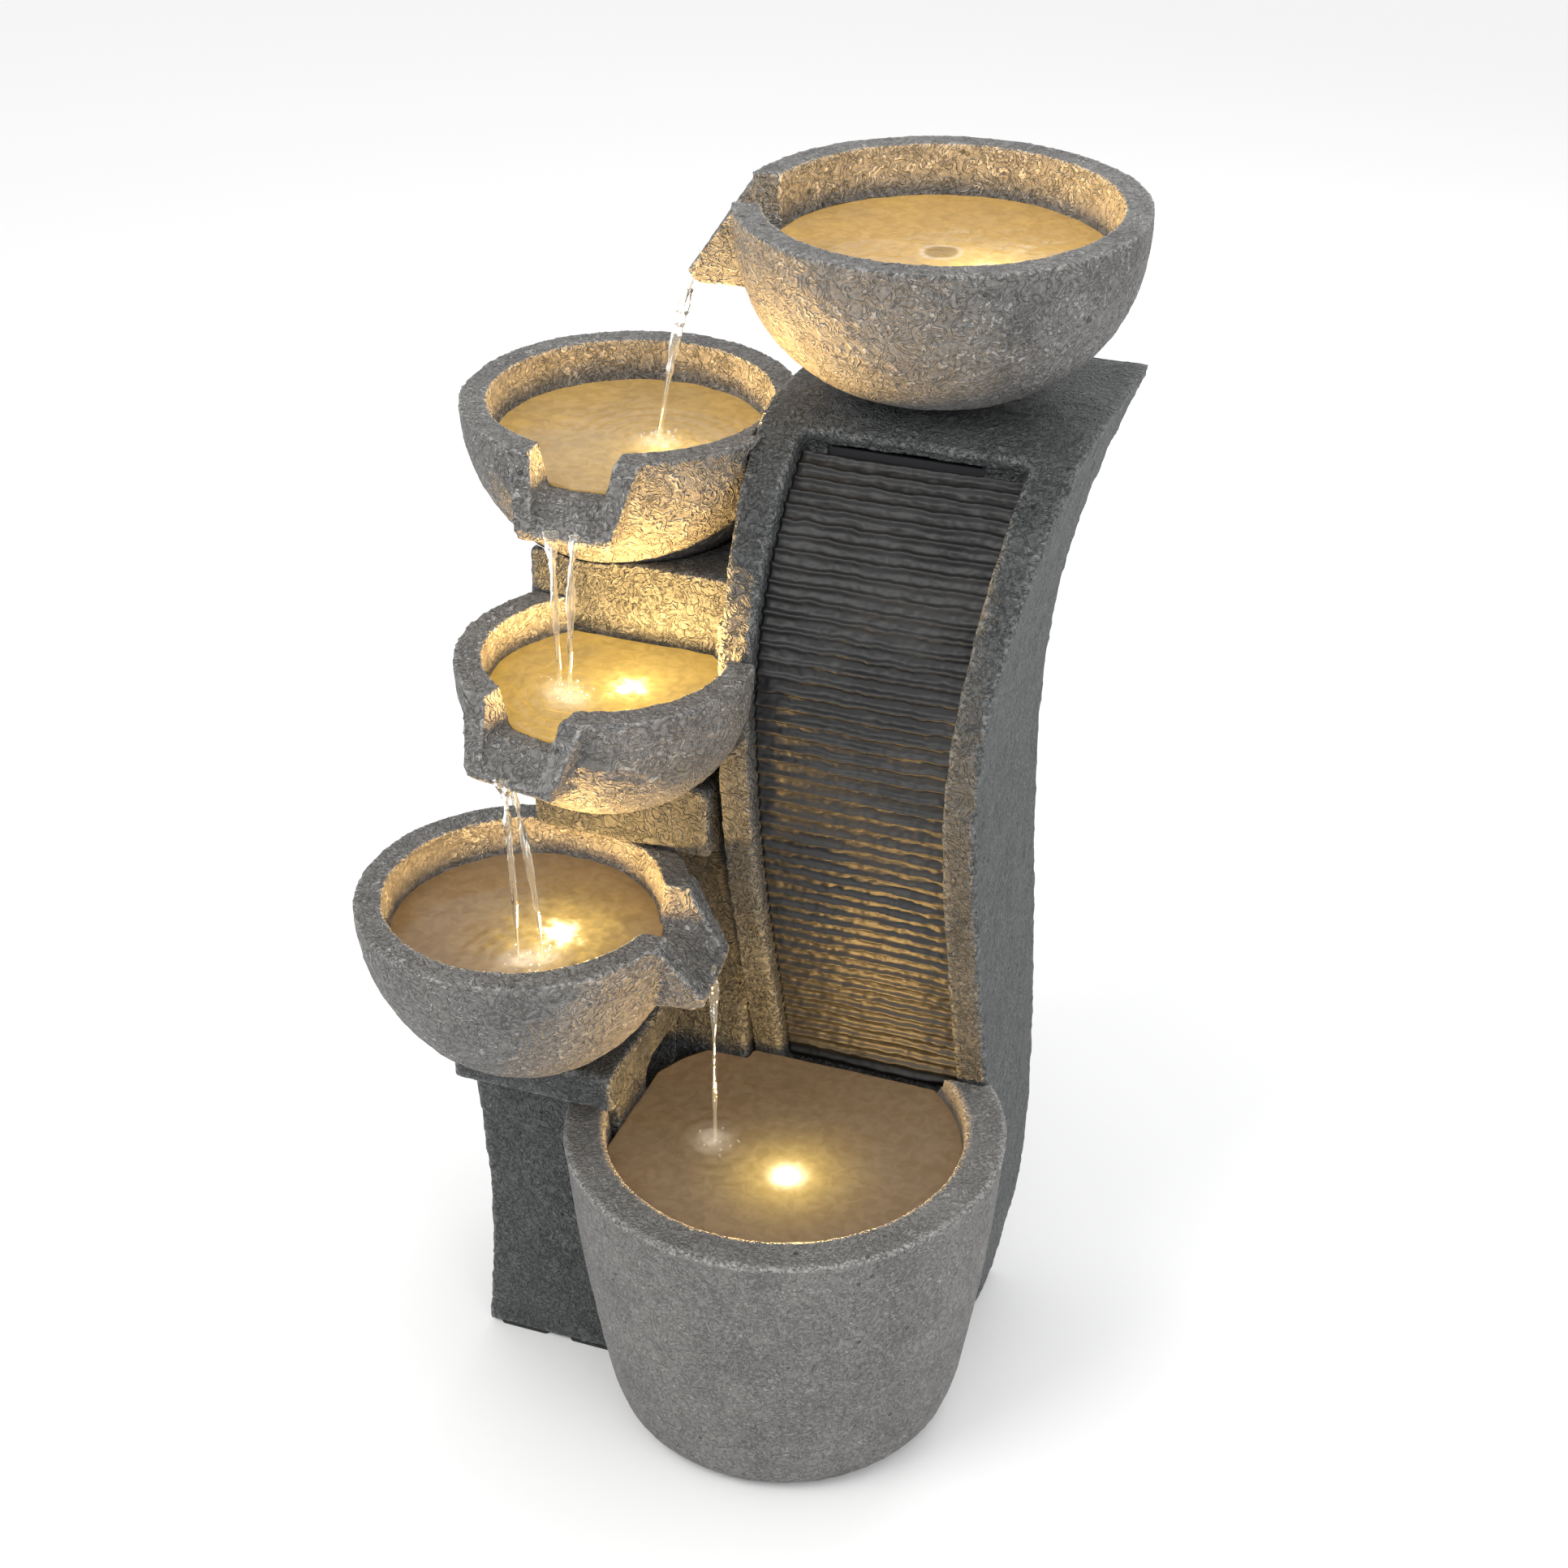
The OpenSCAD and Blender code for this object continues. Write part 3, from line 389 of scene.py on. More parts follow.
def mix_colour(tree: bpy.types.NodeTree, factor: Socket, a: Socket | Colour, b: Socket | Colour) -> Socket:
    """Blend from colour a to colour b by a factor.

    Args:
        tree: the node tree.
        factor: 0 gives a, 1 gives b.
        a: first colour.
        b: second colour.

    Returns:
        The blended colour.
    """
    node = tree.nodes.new("ShaderNodeMix")
    node.data_type = "RGBA"
    tree.links.new(factor, node.inputs["Factor"])
    for socket, colour in ((node.inputs[6], a), (node.inputs[7], b)):
        if isinstance(colour, tuple):
            socket.default_value = rgba(colour)
        else:
            tree.links.new(colour, socket)
    return node.outputs[2]


def cast_relief_group() -> bpy.types.NodeTree:
    """The hand-cast surface shared by all stone: mottling, worm-like brush marks, grain, pits and a height.

    Returns:
        A node group with inputs Vector and Scale and outputs Mottle, Marks, Grain, Pits and Height.
    """
    found = bpy.data.node_groups.get("cast_relief")
    if found:
        return found
    group = bpy.data.node_groups.new("cast_relief", "ShaderNodeTree")
    group.interface.new_socket("Vector", in_out="INPUT", socket_type="NodeSocketVector")
    group.interface.new_socket("Scale", in_out="INPUT", socket_type="NodeSocketFloat").default_value = 1.0
    outputs = ("Mottle", "Marks", "Grain", "Pits", "Height")
    for name in outputs:
        group.interface.new_socket(name, in_out="OUTPUT", socket_type="NodeSocketFloat")
    source = group.nodes.new("NodeGroupInput")
    sink = group.nodes.new("NodeGroupOutput")
    scaled = group.nodes.new("ShaderNodeVectorMath")
    scaled.operation = "SCALE"
    group.links.new(source.outputs["Vector"], scaled.inputs[0])
    group.links.new(source.outputs["Scale"], scaled.inputs["Scale"])
    vector = scaled.outputs[0]

    def noise(scale: float, detail: float, rough: float, warp: float = 0.0) -> Socket:
        """One noise texture on the shared coordinates.

        Args:
            scale: cells per metre.
            detail: octaves.
            rough: how strong the finer octaves are.
            warp: distortion.

        Returns:
            Its value.
        """
        node = group.nodes.new("ShaderNodeTexNoise")
        node.inputs["Scale"].default_value = scale
        node.inputs["Detail"].default_value = detail
        node.inputs["Roughness"].default_value = rough
        node.inputs["Distortion"].default_value = warp
        group.links.new(vector, node.inputs["Vector"])
        return node.outputs["Fac"]

    mottle = noise(28, 5, 0.6)
    ridges = noise(150, 2.5, 0.5, warp=1.6)
    patches = noise(60, 3, 0.6)
    grain = noise(560, 4, 0.7)
    # a brush catches the crests: a thin band round the middle value of a warped noise reads as a squiggle
    centred = math_node(group, "SUBTRACT", ridges, 0.5)
    band = math_node(group, "ABSOLUTE", centred, 0.0)
    squiggle = ramp(group, band, 0.050, 0.008)
    broken = ramp(group, grain, 0.38, 0.56)
    here = ramp(group, patches, 0.36, 0.58)
    marks = math_node(group, "MULTIPLY", math_node(group, "MULTIPLY", squiggle, broken), here)
    cells = group.nodes.new("ShaderNodeTexVoronoi")
    cells.inputs["Scale"].default_value = 125
    group.links.new(vector, cells.inputs["Vector"])
    pits = ramp(group, cells.outputs["Distance"], 0.17, 0.09)
    sparse = ramp(group, noise(33, 2, 0.5), 0.56, 0.66)
    pits = math_node(group, "MULTIPLY", pits, sparse)
    worms = math_node(group, "MULTIPLY", ramp(group, band, 0.085, 0.0), 0.62)
    height = math_node(group, "ADD", worms, math_node(group, "MULTIPLY", grain, 0.5))
    height = math_node(group, "ADD", height, math_node(group, "MULTIPLY", ridges, 0.5))
    height = math_node(group, "SUBTRACT", height, math_node(group, "MULTIPLY", pits, 1.2))
    for name, value in zip(outputs, (mottle, marks, grain, pits, height)):
        group.links.new(value, sink.inputs[name])
    return group


@dataclass(frozen=True)
class CastStone:
    """Dry-brushed cast stone.

    Fields are the finish's name, its dark, middle and pale tones, how far the brush marks and the edges turn
    pale, the scale of the relief, the depth of its bump in metres and the base roughness.
    """

    name: str
    dark: Colour
    middle: Colour
    pale: Colour
    brush: float
    edge: float
    scale: float
    depth: float
    rough: float

    def build(self) -> bpy.types.Material:
        """Mixes the tones by the relief group, pales convex edges, paints shade into the pits and bumps the
        surface.

        Returns:
            The material.
        """
        s = Shader(self.name)
        relief = s.relief(self.scale).outputs
        tone = mix_colour(s.tree, ramp(s.tree, relief["Mottle"], 0.32, 0.68), self.dark, self.middle)
        grain = ramp(s.tree, relief["Grain"], 0.35, 0.75)
        speck = math_node(s.tree, "MULTIPLY", grain, 0.38)
        tone = mix_colour(s.tree, speck, tone, self.pale)
        brushed = math_node(s.tree, "MULTIPLY", relief["Marks"], self.brush)
        tone = mix_colour(s.tree, brushed, tone, self.pale)
        geometry = s.add("ShaderNodeNewGeometry")
        edge = ramp(s.tree, geometry.outputs["Pointiness"], 0.505, 0.545)
        worn = math_node(s.tree, "MULTIPLY", math_node(s.tree, "MULTIPLY", edge, grain), self.edge)
        tone = mix_colour(s.tree, worn, tone, self.pale)
        # painted shade: the pits turn darker than the darkest tone, as shade inside them
        painted_pit_shade = math_node(s.tree, "MULTIPLY", relief["Pits"], 0.75)
        tone = mix_colour(s.tree, painted_pit_shade, tone, tuple(0.35 * c for c in self.dark))
        s.link(tone, s.principled.inputs["Base Color"])
        s.gloss(relief["Mottle"], self.rough - 0.12, self.rough + 0.1)
        s.bump(relief["Height"], 1.0, self.depth)
        s.fix(Specular_IOR_Level=0.45)
        return s.material


@dataclass(frozen=True)
class WetPanel:
    """Near-black ripples under a running film of water, with a painted highlight on the crests and painted
    flecks of warm glint.
    """

    name: str = "wet_panel"

    def build(self) -> bpy.types.Material:
        """Black, with a painted highlight that turns crests grey where a stretched noise is high and small
        flecks of painted gold glint.

        Returns:
            The material.
        """
        s = Shader(self.name)
        coords = s.coordinates()
        crest = s.add("ShaderNodeAttribute", attribute_name="crest").outputs["Fac"]
        stretch = s.add("ShaderNodeMapping")
        stretch.inputs["Scale"].default_value = (95, 160, 420)
        s.link(coords, stretch.inputs["Vector"])
        streak = s.noise(stretch.outputs["Vector"], 1.0, 4.0)
        broken = ramp(s.tree, streak, 0.42, 0.62)
        # painted highlight: the crests turn grey where the stretched noise breaks them up
        lit = math_node(s.tree, "MULTIPLY", ramp(s.tree, crest, 0.70, 1.0), broken)
        tone = mix_colour(s.tree, lit, (0.0035, 0.0037, 0.004), (0.24, 0.25, 0.26))
        # painted glint: sparse gold flecks in the base colour and a gold glow, for lamp light caught on the
        # wet ridges
        fleck = s.add("ShaderNodeTexVoronoi")
        fleck.inputs["Scale"].default_value = 150
        s.link(coords, fleck.inputs["Vector"])
        spot = ramp(s.tree, fleck.outputs["Distance"], 0.16, 0.06)
        rare = ramp(s.tree, s.relief(0.8).outputs["Mottle"], 0.53, 0.63)
        glint = math_node(s.tree, "MULTIPLY", spot, rare)
        tone = mix_colour(s.tree, glint, tone, (0.75, 0.42, 0.10))
        s.link(tone, s.principled.inputs["Base Color"])
        glow = mix_colour(s.tree, glint, (0.0, 0.0, 0.0), (0.50, 0.25, 0.05))
        s.link(glow, s.principled.inputs["Emission Color"])
        s.bump(streak, 0.4, 0.0012)
        s.fix(Roughness=0.24, Emission_Strength=1.0, Specular_IOR_Level=0.07, IOR=1.1)
        return s.material


@dataclass(frozen=True)
class PoolWater:
    """A lit pool: tan water with the painted gold and white light of its lamp, by the painted colour, glossy
    on top, with fine ripples.
    """

    name: str = "pool_water"

    def build(self) -> bpy.types.Material:
        """Base and emission colours both come from the pool's painted attributes.

        Returns:
            The material.
        """
        s = Shader(self.name)
        body = s.add("ShaderNodeAttribute", attribute_name="tint").outputs["Color"]
        glow = s.add("ShaderNodeAttribute", attribute_name="glow").outputs["Color"]
        ripple = s.noise(s.coordinates(), 130, 5, 0.8)
        shade = ramp(s.tree, ripple, 0.30, 0.70)
        s.link(s.dimmed(body, shade, (0.84, 0.82, 0.80)), s.principled.inputs["Base Color"])
        s.link(s.dimmed(glow, shade, (0.80, 0.78, 0.75)), s.principled.inputs["Emission Color"])
        s.bump(ripple, 0.6, 0.0010)
        s.fix(Roughness=0.07, IOR=1.33, Emission_Strength=1.0)
        return s.material


@dataclass(frozen=True)
class ClearWater:
    """Falling water and splashes: clear, with a faint painted warm glow in its body."""

    name: str = "clear_water"

    def build(self) -> bpy.types.Material:
        """Water glass with a rippled normal.

        Returns:
            The material.
        """
        s = Shader(self.name)
        s.bump(s.noise(s.coordinates(), 260, 3), 0.5, 0.001)
        s.fix(Base_Color=(1, 0.97, 0.9, 1), Roughness=0.03, IOR=1.33, Transmission_Weight=1.0)
        # painted light: a faint warm glow in the water
        s.fix(Emission_Color=(1, 0.88, 0.66, 1), Emission_Strength=0.09)
        return s.material


@dataclass(frozen=True)
class Moulded:
    """A plain moulded or turned finish with a little grain in its tone and gloss."""

    name: str
    colour: Colour
    rough: float
    metal: float = 0.0
    grain: float = 0.12
    scale: float = 420.0

    def build(self) -> bpy.types.Material:
        """Colour and roughness wander slightly with a fine noise.

        Returns:
            The material.
        """
        s = Shader(self.name)
        noise = s.noise(s.coordinates(), self.scale, 4)
        darker = tuple(c * (1 - self.grain) for c in self.colour)
        lighter = tuple(min(1.0, c * (1 + self.grain) + 0.01) for c in self.colour)
        s.link(mix_colour(s.tree, noise, darker, lighter), s.principled.inputs["Base Color"])
        s.gloss(noise, max(0.05, self.rough - 0.1), self.rough + 0.1)
        s.fix(Metallic=self.metal)
        return s.material


@dataclass(frozen=True)
class LightLens:
    """A frosted lens lit warm from behind."""

    name: str = "light_lens"

    def build(self) -> bpy.types.Material:
        """Frosted, pale amber, glowing.

        Returns:
            The material.
        """
        s = Shader(self.name)
        glow = mix_colour(s.tree, s.noise(s.coordinates(), 300), (1.0, 0.66, 0.28), (1.0, 0.86, 0.58))
        s.link(glow, s.principled.inputs["Emission Color"])
        s.fix(Base_Color=(1.0, 0.85, 0.6, 1), Roughness=0.25, Emission_Strength=4.0)
        return s.material


class Finish(Enum):
    """Every finish of the fountain, each keyed to its own recipe."""

    CONCRETE = CastStone(
        "grey_concrete", (0.092, 0.090, 0.086), (0.150, 0.146, 0.138), (0.45, 0.44, 0.425),
        brush=0.85, edge=0.95, scale=0.72, depth=0.0036, rough=0.60,
    )
    SMOOTH_CONCRETE = CastStone(
        "smooth_concrete", (0.100, 0.098, 0.093), (0.152, 0.148, 0.141), (0.43, 0.42, 0.405),
        brush=0.42, edge=0.95, scale=0.85, depth=0.0018, rough=0.66,
    )
    CHARCOAL = CastStone(
        "charcoal_stone", (0.024, 0.027, 0.028), (0.048, 0.052, 0.053), (0.24, 0.25, 0.25),
        brush=0.42, edge=0.95, scale=0.80, depth=0.0032, rough=0.54,
    )
    PANEL = WetPanel()
    POOL = PoolWater()
    CLEAR = ClearWater()
    PLASTIC = Moulded("black_plastic", (0.018, 0.018, 0.02), 0.42)
    PALE_PLASTIC = Moulded("pale_plastic", (0.72, 0.71, 0.66), 0.3)
    RUBBER = Moulded("black_rubber", (0.014, 0.014, 0.014), 0.75, grain=0.25)
    STEEL = Moulded("bright_steel", (0.58, 0.58, 0.59), 0.3, metal=1.0, scale=900.0)
    HOSE = Moulded("dark_hose", (0.032, 0.034, 0.034), 0.5)
    LENS = LightLens()

    def material(self) -> bpy.types.Material:
        """The finish's material, built on first use."""
        return bpy.data.materials.get(self.value.name) or self.value.build()


# ---------- sizes read from the frame ----------


def low(node: str) -> np.ndarray:
    """Lowest corner of a CAD node, in metres."""
    return np.array(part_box(node)[0])


def high(node: str) -> np.ndarray:
    """Highest corner of a CAD node, in metres."""
    return np.array(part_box(node)[1])


def off_rim(node: str, x: float, y: float, z: float = 0.0) -> Point:
    """A point given from the middle of a vessel's top, so that water follows the vessel.

    Args:
        node: the vessel's CAD node.
        x: millimetres to the right of the middle of its box.
        y: millimetres behind it.
        z: millimetres above the box's top.

    Returns:
        The point, in metres.
    """
    lo, hi = low(node), high(node)
    middle = np.array([(lo[0] + hi[0]) / 2, (lo[1] + hi[1]) / 2, hi[2]])
    return tuple((middle + np.array([x, y, z]) * MM).tolist())


from_top = partial(off_rim, "top_bowl")
from_upper = partial(off_rim, "upper_bowl")
from_middle = partial(off_rim, "middle_bowl")
from_lower = partial(off_rim, "lower_bowl")
from_basin = partial(off_rim, "basin")


# ---------- castings ----------


@dataclass
class Casting:
    """One cast stone piece: a re-skinned copy of a CAD solid with soft worn edges and an uneven surface.

    Fields are the CAD node, the new piece's name, the skin's cell size, how far the surface wanders, the
    finish and its slot.
    """

    node: str
    name: str
    cell: float
    wander: float
    finish: Finish
    slot: str

    def skin(self) -> bpy.types.Mesh:
        """Copies the solid, welds it and rebuilds its skin from cubes of the cell size.

        Returns:
            The new mesh.
        """
        mesh = NODES[self.node].data.copy()
        carrier = bpy.data.objects.new(self.name + "_carrier", mesh)
        bpy.context.scene.collection.objects.link(carrier)
        weld = carrier.modifiers.new("weld", "WELD")
        weld.merge_threshold = 1e-5
        remesh = carrier.modifiers.new("skin", "REMESH")
        remesh.mode = "VOXEL"
        remesh.voxel_size = self.cell
        soften = carrier.modifiers.new("soften", "SMOOTH")
        soften.factor = 0.5
        soften.iterations = 1
        graph = bpy.context.evaluated_depsgraph_get()
        skin = bpy.data.meshes.new_from_object(carrier.evaluated_get(graph))
        bpy.data.objects.remove(carrier)
        bpy.data.meshes.remove(mesh)
        return skin

    def build(self) -> bpy.types.Object:
        """Moves each point of the skin along its normal by slow waves and by ridges.

        A ridge stands where a warped noise is near its middle value, and fine noise lies over both.

        Returns:
            The finished piece.
        """
        skin = self.skin()
        count = len(skin.vertices)
        points = np.empty(count * 3)
        normals = np.empty(count * 3)
        skin.vertices.foreach_get("co", points)
        skin.vertices.foreach_get("normal", normals)
        points = points.reshape(-1, 3)
        normals = normals.reshape(-1, 3)
        warp = 0.004 * np.stack([lattice_noise(points, 90, k) for k in (5, 6, 7)], axis=1)
        ridge = np.clip(1 - 3.2 * np.abs(lattice_noise(points + warp, 120, 9)), 0, 1)
        push = 0.45 * lattice_noise(points, 45, 3) + 0.55 * ridge + 0.25 * lattice_noise(points, 300, 4)
        points += normals * (self.wander * (push - 0.55))[:, None]
        points[:, 2] = np.maximum(points[:, 2], PAD_TOP)
        skin.vertices.foreach_set("co", points.ravel())
        skin.polygons.foreach_set("use_smooth", np.ones(len(skin.polygons), dtype=bool))
        skin.materials.clear()
        skin.materials.append(self.finish.material())
        skin.update()
        skin.name = self.name
        made = bpy.data.objects.new(self.name, skin)
        bpy.context.scene.collection.objects.link(made)
        settle(made, BODY, self.slot, self.node)
        return made


@dataclass
class Castings:
    """All the stone: the tower, its piers and cap, the four bowls and the basin."""

    fine: float = 1.7 * MM
    medium: float = 2.2 * MM
    coarse: float = 2.8 * MM

    def build(self) -> None:
        """Builds each casting in its own finish."""
        concrete = (Finish.CONCRETE, "concrete")
        smooth = (Finish.SMOOTH_CONCRETE, "concrete")
        charcoal = (Finish.CHARCOAL, "dark_stone")
        plan = [
            ("tower_shell", self.coarse, 0.9, charcoal),
            ("lower_pier", self.medium, 0.9, charcoal),
            ("lower_cap", self.medium, 0.8, charcoal),
            ("middle_pier", self.coarse, 0.9, charcoal),
            ("upper_pier", self.medium, 0.9, charcoal),
            ("top_bowl", self.fine, 0.7, concrete),
            ("upper_bowl", self.fine, 0.7, concrete),
            ("middle_bowl", self.fine, 0.7, concrete),
            ("lower_bowl", self.fine, 0.7, concrete),
            ("basin", self.medium, 0.5, smooth),
        ]
        for node, cell, wander, (finish, slot) in plan:
            name = node.removesuffix("_shell") + "_casting"
            Casting(node, name, cell, wander * MM, finish, slot).build()


# ---------- rippled panel ----------


@dataclass
class FaceCurve:
    """The tower's front profile in the (y, z) plane: straight foot, cosine bow, then a leaning crown.

    Fields are its foremost y, how far the bow swings, the heights of the foot and of the bow's front, the
    crown's y and z and the crown's fullness. The foremost y and the crown's z are the tower's own.
    """

    front_y: float = field(default_factory=lambda: float(low("tower_shell")[1]))
    bow: float = 74 * MM
    foot_z: float = 50 * MM
    bow_z: float = 450 * MM
    crown_y: float = 90 * MM
    crown_z: float = field(default_factory=lambda: float(high("tower_shell")[2]))
    fullness: float = 1.8

    def samples(self) -> np.ndarray:
        """Points up the face: a half cosine from foot to bow, then a superellipse quadrant to the crown.

        Returns:
            y and z, one row per point.
        """
        z = np.linspace(self.foot_z, self.bow_z, 120)
        swing = 1 - np.cos(np.pi * (self.bow_z - z) / (self.bow_z - self.foot_z))
        y = self.front_y + self.bow * swing / 2
        a = np.linspace(0, np.pi / 2, 160)[1:]
        top_y = self.crown_y - (self.crown_y - self.front_y) * np.cos(a) ** (2 / self.fullness)
        top_z = self.bow_z + (self.crown_z - self.bow_z) * np.sin(a) ** (2 / self.fullness)
        return np.column_stack([np.concatenate([y, top_y]), np.concatenate([z, top_z])])

    def behind(self, lengths: np.ndarray, depth: np.ndarray) -> np.ndarray:
        """Points at lengths along the face from its foot, pushed inwards along the curve's normal.

        Args:
            lengths: distance along the face.
            depth: distance behind the face, same shape.

        Returns:
            y and z in the last axis.
        """
        curve = self.samples()
        step = np.linalg.norm(np.diff(curve, axis=0), axis=1)
        run = np.concatenate([[0], np.cumsum(step)])

        def at(s: np.ndarray) -> np.ndarray:
            """The curve's point at a length."""
            return np.stack([np.interp(s, run, curve[:, 0]), np.interp(s, run, curve[:, 1])], axis=-1)

        t = at(lengths + 2 * MM) - at(lengths - 2 * MM)
        t /= np.linalg.norm(t, axis=-1, keepdims=True)
        inward = np.stack([t[..., 1], -t[..., 0]], axis=-1)
        return at(lengths) + depth[..., None] * inward

    def length_at(self, z: float) -> float:
        """Length along the face from its foot to a height.

        Args:
            z: the height.

        Returns:
            The length.
        """
        curve = self.samples()
        run = np.concatenate([[0], np.cumsum(np.linalg.norm(np.diff(curve, axis=0), axis=1))])
        return float(np.interp(z, curve[:, 1], run))


@dataclass
class WaterWall:
    """The rippled panel that water runs down.

    Fields are the tower's face, how deep the panel's back lies behind it, the ripples' pitch and depth, the
    thickness behind them, how far under the crown the panel ends, its half width and what the flare adds to
    it, how far the flare leans right, the height where the flare starts, and the grid.
    """

    face: FaceCurve = field(default_factory=FaceCurve)
    recess: float = 16 * MM
    pitch: float = 9.4 * MM
    depth: float = 3.4 * MM
    backing: float = 4.6 * MM
    top_gap: float = 9.2 * MM
    half_width: float = 56.6 * MM
    widening: float = 10.5 * MM
    lean: float = 7.5 * MM
    flare_z: float = 420 * MM
    rows: int = 620
    cols: int = 110

    def build(self) -> bpy.types.Object:
        """Each ripple is a raised sine with a sharpened crest; its line wanders up and down by smooth noise.

        Returns:
            The panel.
        """
        start = self.face.length_at(low("water_wall")[2] + 1 * MM)
        end = self.face.length_at(self.face.crown_z - self.top_gap)
        s = np.linspace(start, end, self.rows)[:, None] + np.zeros((1, self.cols))
        t = np.linspace(-1, 1, self.cols)[None, :] + np.zeros((self.rows, 1))
        z_here = self.face.behind(s, np.zeros_like(s))[..., 1]
        flare = np.clip((z_here - self.flare_z) / (self.face.crown_z - self.flare_z), 0, 1)
        x = self.lean * flare**1.2 + t * (self.half_width + self.widening * flare)
        flat = np.stack([x, np.zeros_like(x), s], axis=-1).reshape(-1, 3)
        sway = 0.9 * lattice_noise(flat * [1, 1, 0.35], 26, 11) + 0.55 * lattice_noise(flat, 95, 12)
        sway += 0.4 * lattice_noise(flat, 260, 15)
        phase = (s + 1.3 * MM * sway.reshape(s.shape)) / self.pitch
        wave = (0.5 + 0.5 * np.sin(2 * np.pi * phase)) ** 3.0
        swell = 0.75 + 0.35 * lattice_noise(flat, 38, 13).reshape(s.shape)
        crest = wave * swell
        out = self.depth * crest + 0.55 * MM * fractal_noise(flat, 210, 2, 14).reshape(s.shape)
        sunk = 4.0 * MM * np.clip(1 - (end - s) / (5 * MM), 0, 1)
        out = out * np.clip((end - s) / (6 * MM), 0, 1)
        yz = self.face.behind(s, self.recess - self.backing - out + sunk)
        front = np.stack([x, yz[..., 0], yz[..., 1]], axis=-1)
        back_yz = self.face.behind(s, np.full_like(s, self.recess - 0.4 * MM))
        back = np.stack([x, back_yz[..., 0], back_yz[..., 1]], axis=-1)
        quads = grid_faces(self.rows, self.cols)
        count = self.rows * self.cols
        ring = self.rim_loop()
        wall = np.stack([ring, ring + count, np.roll(ring, -1) + count, np.roll(ring, -1)], axis=-1)
        points = np.concatenate([front.reshape(-1, 3), back.reshape(-1, 3)])
        faces = [quads, quads[:, ::-1] + count, wall]
        made = put_mesh("rippled_panel", points, faces, Finish.PANEL.material())
        # painted highlight mask: the crest height, stored for the panel's grey crests
        tint = np.repeat(np.clip(crest.reshape(-1, 1), 0, 1), 3, axis=1)
        paint(made, "crest", np.concatenate([tint, np.zeros_like(tint)]))
        settle(made, BODY, "wet_panel", "water_wall")
        return made

    def rim_loop(self) -> np.ndarray:
        """Walks once round the edge of the front grid.

        Returns:
            Its point numbers in order.
        """
        r, c = self.rows, self.cols
        bottom = np.arange(c)
        right = np.arange(1, r) * c + c - 1
        top = (r - 1) * c + np.arange(c - 2, -1, -1)
        left = np.arange(r - 2, 0, -1) * c
        return np.concatenate([bottom, right, top, left])


# ---------- pools ----------


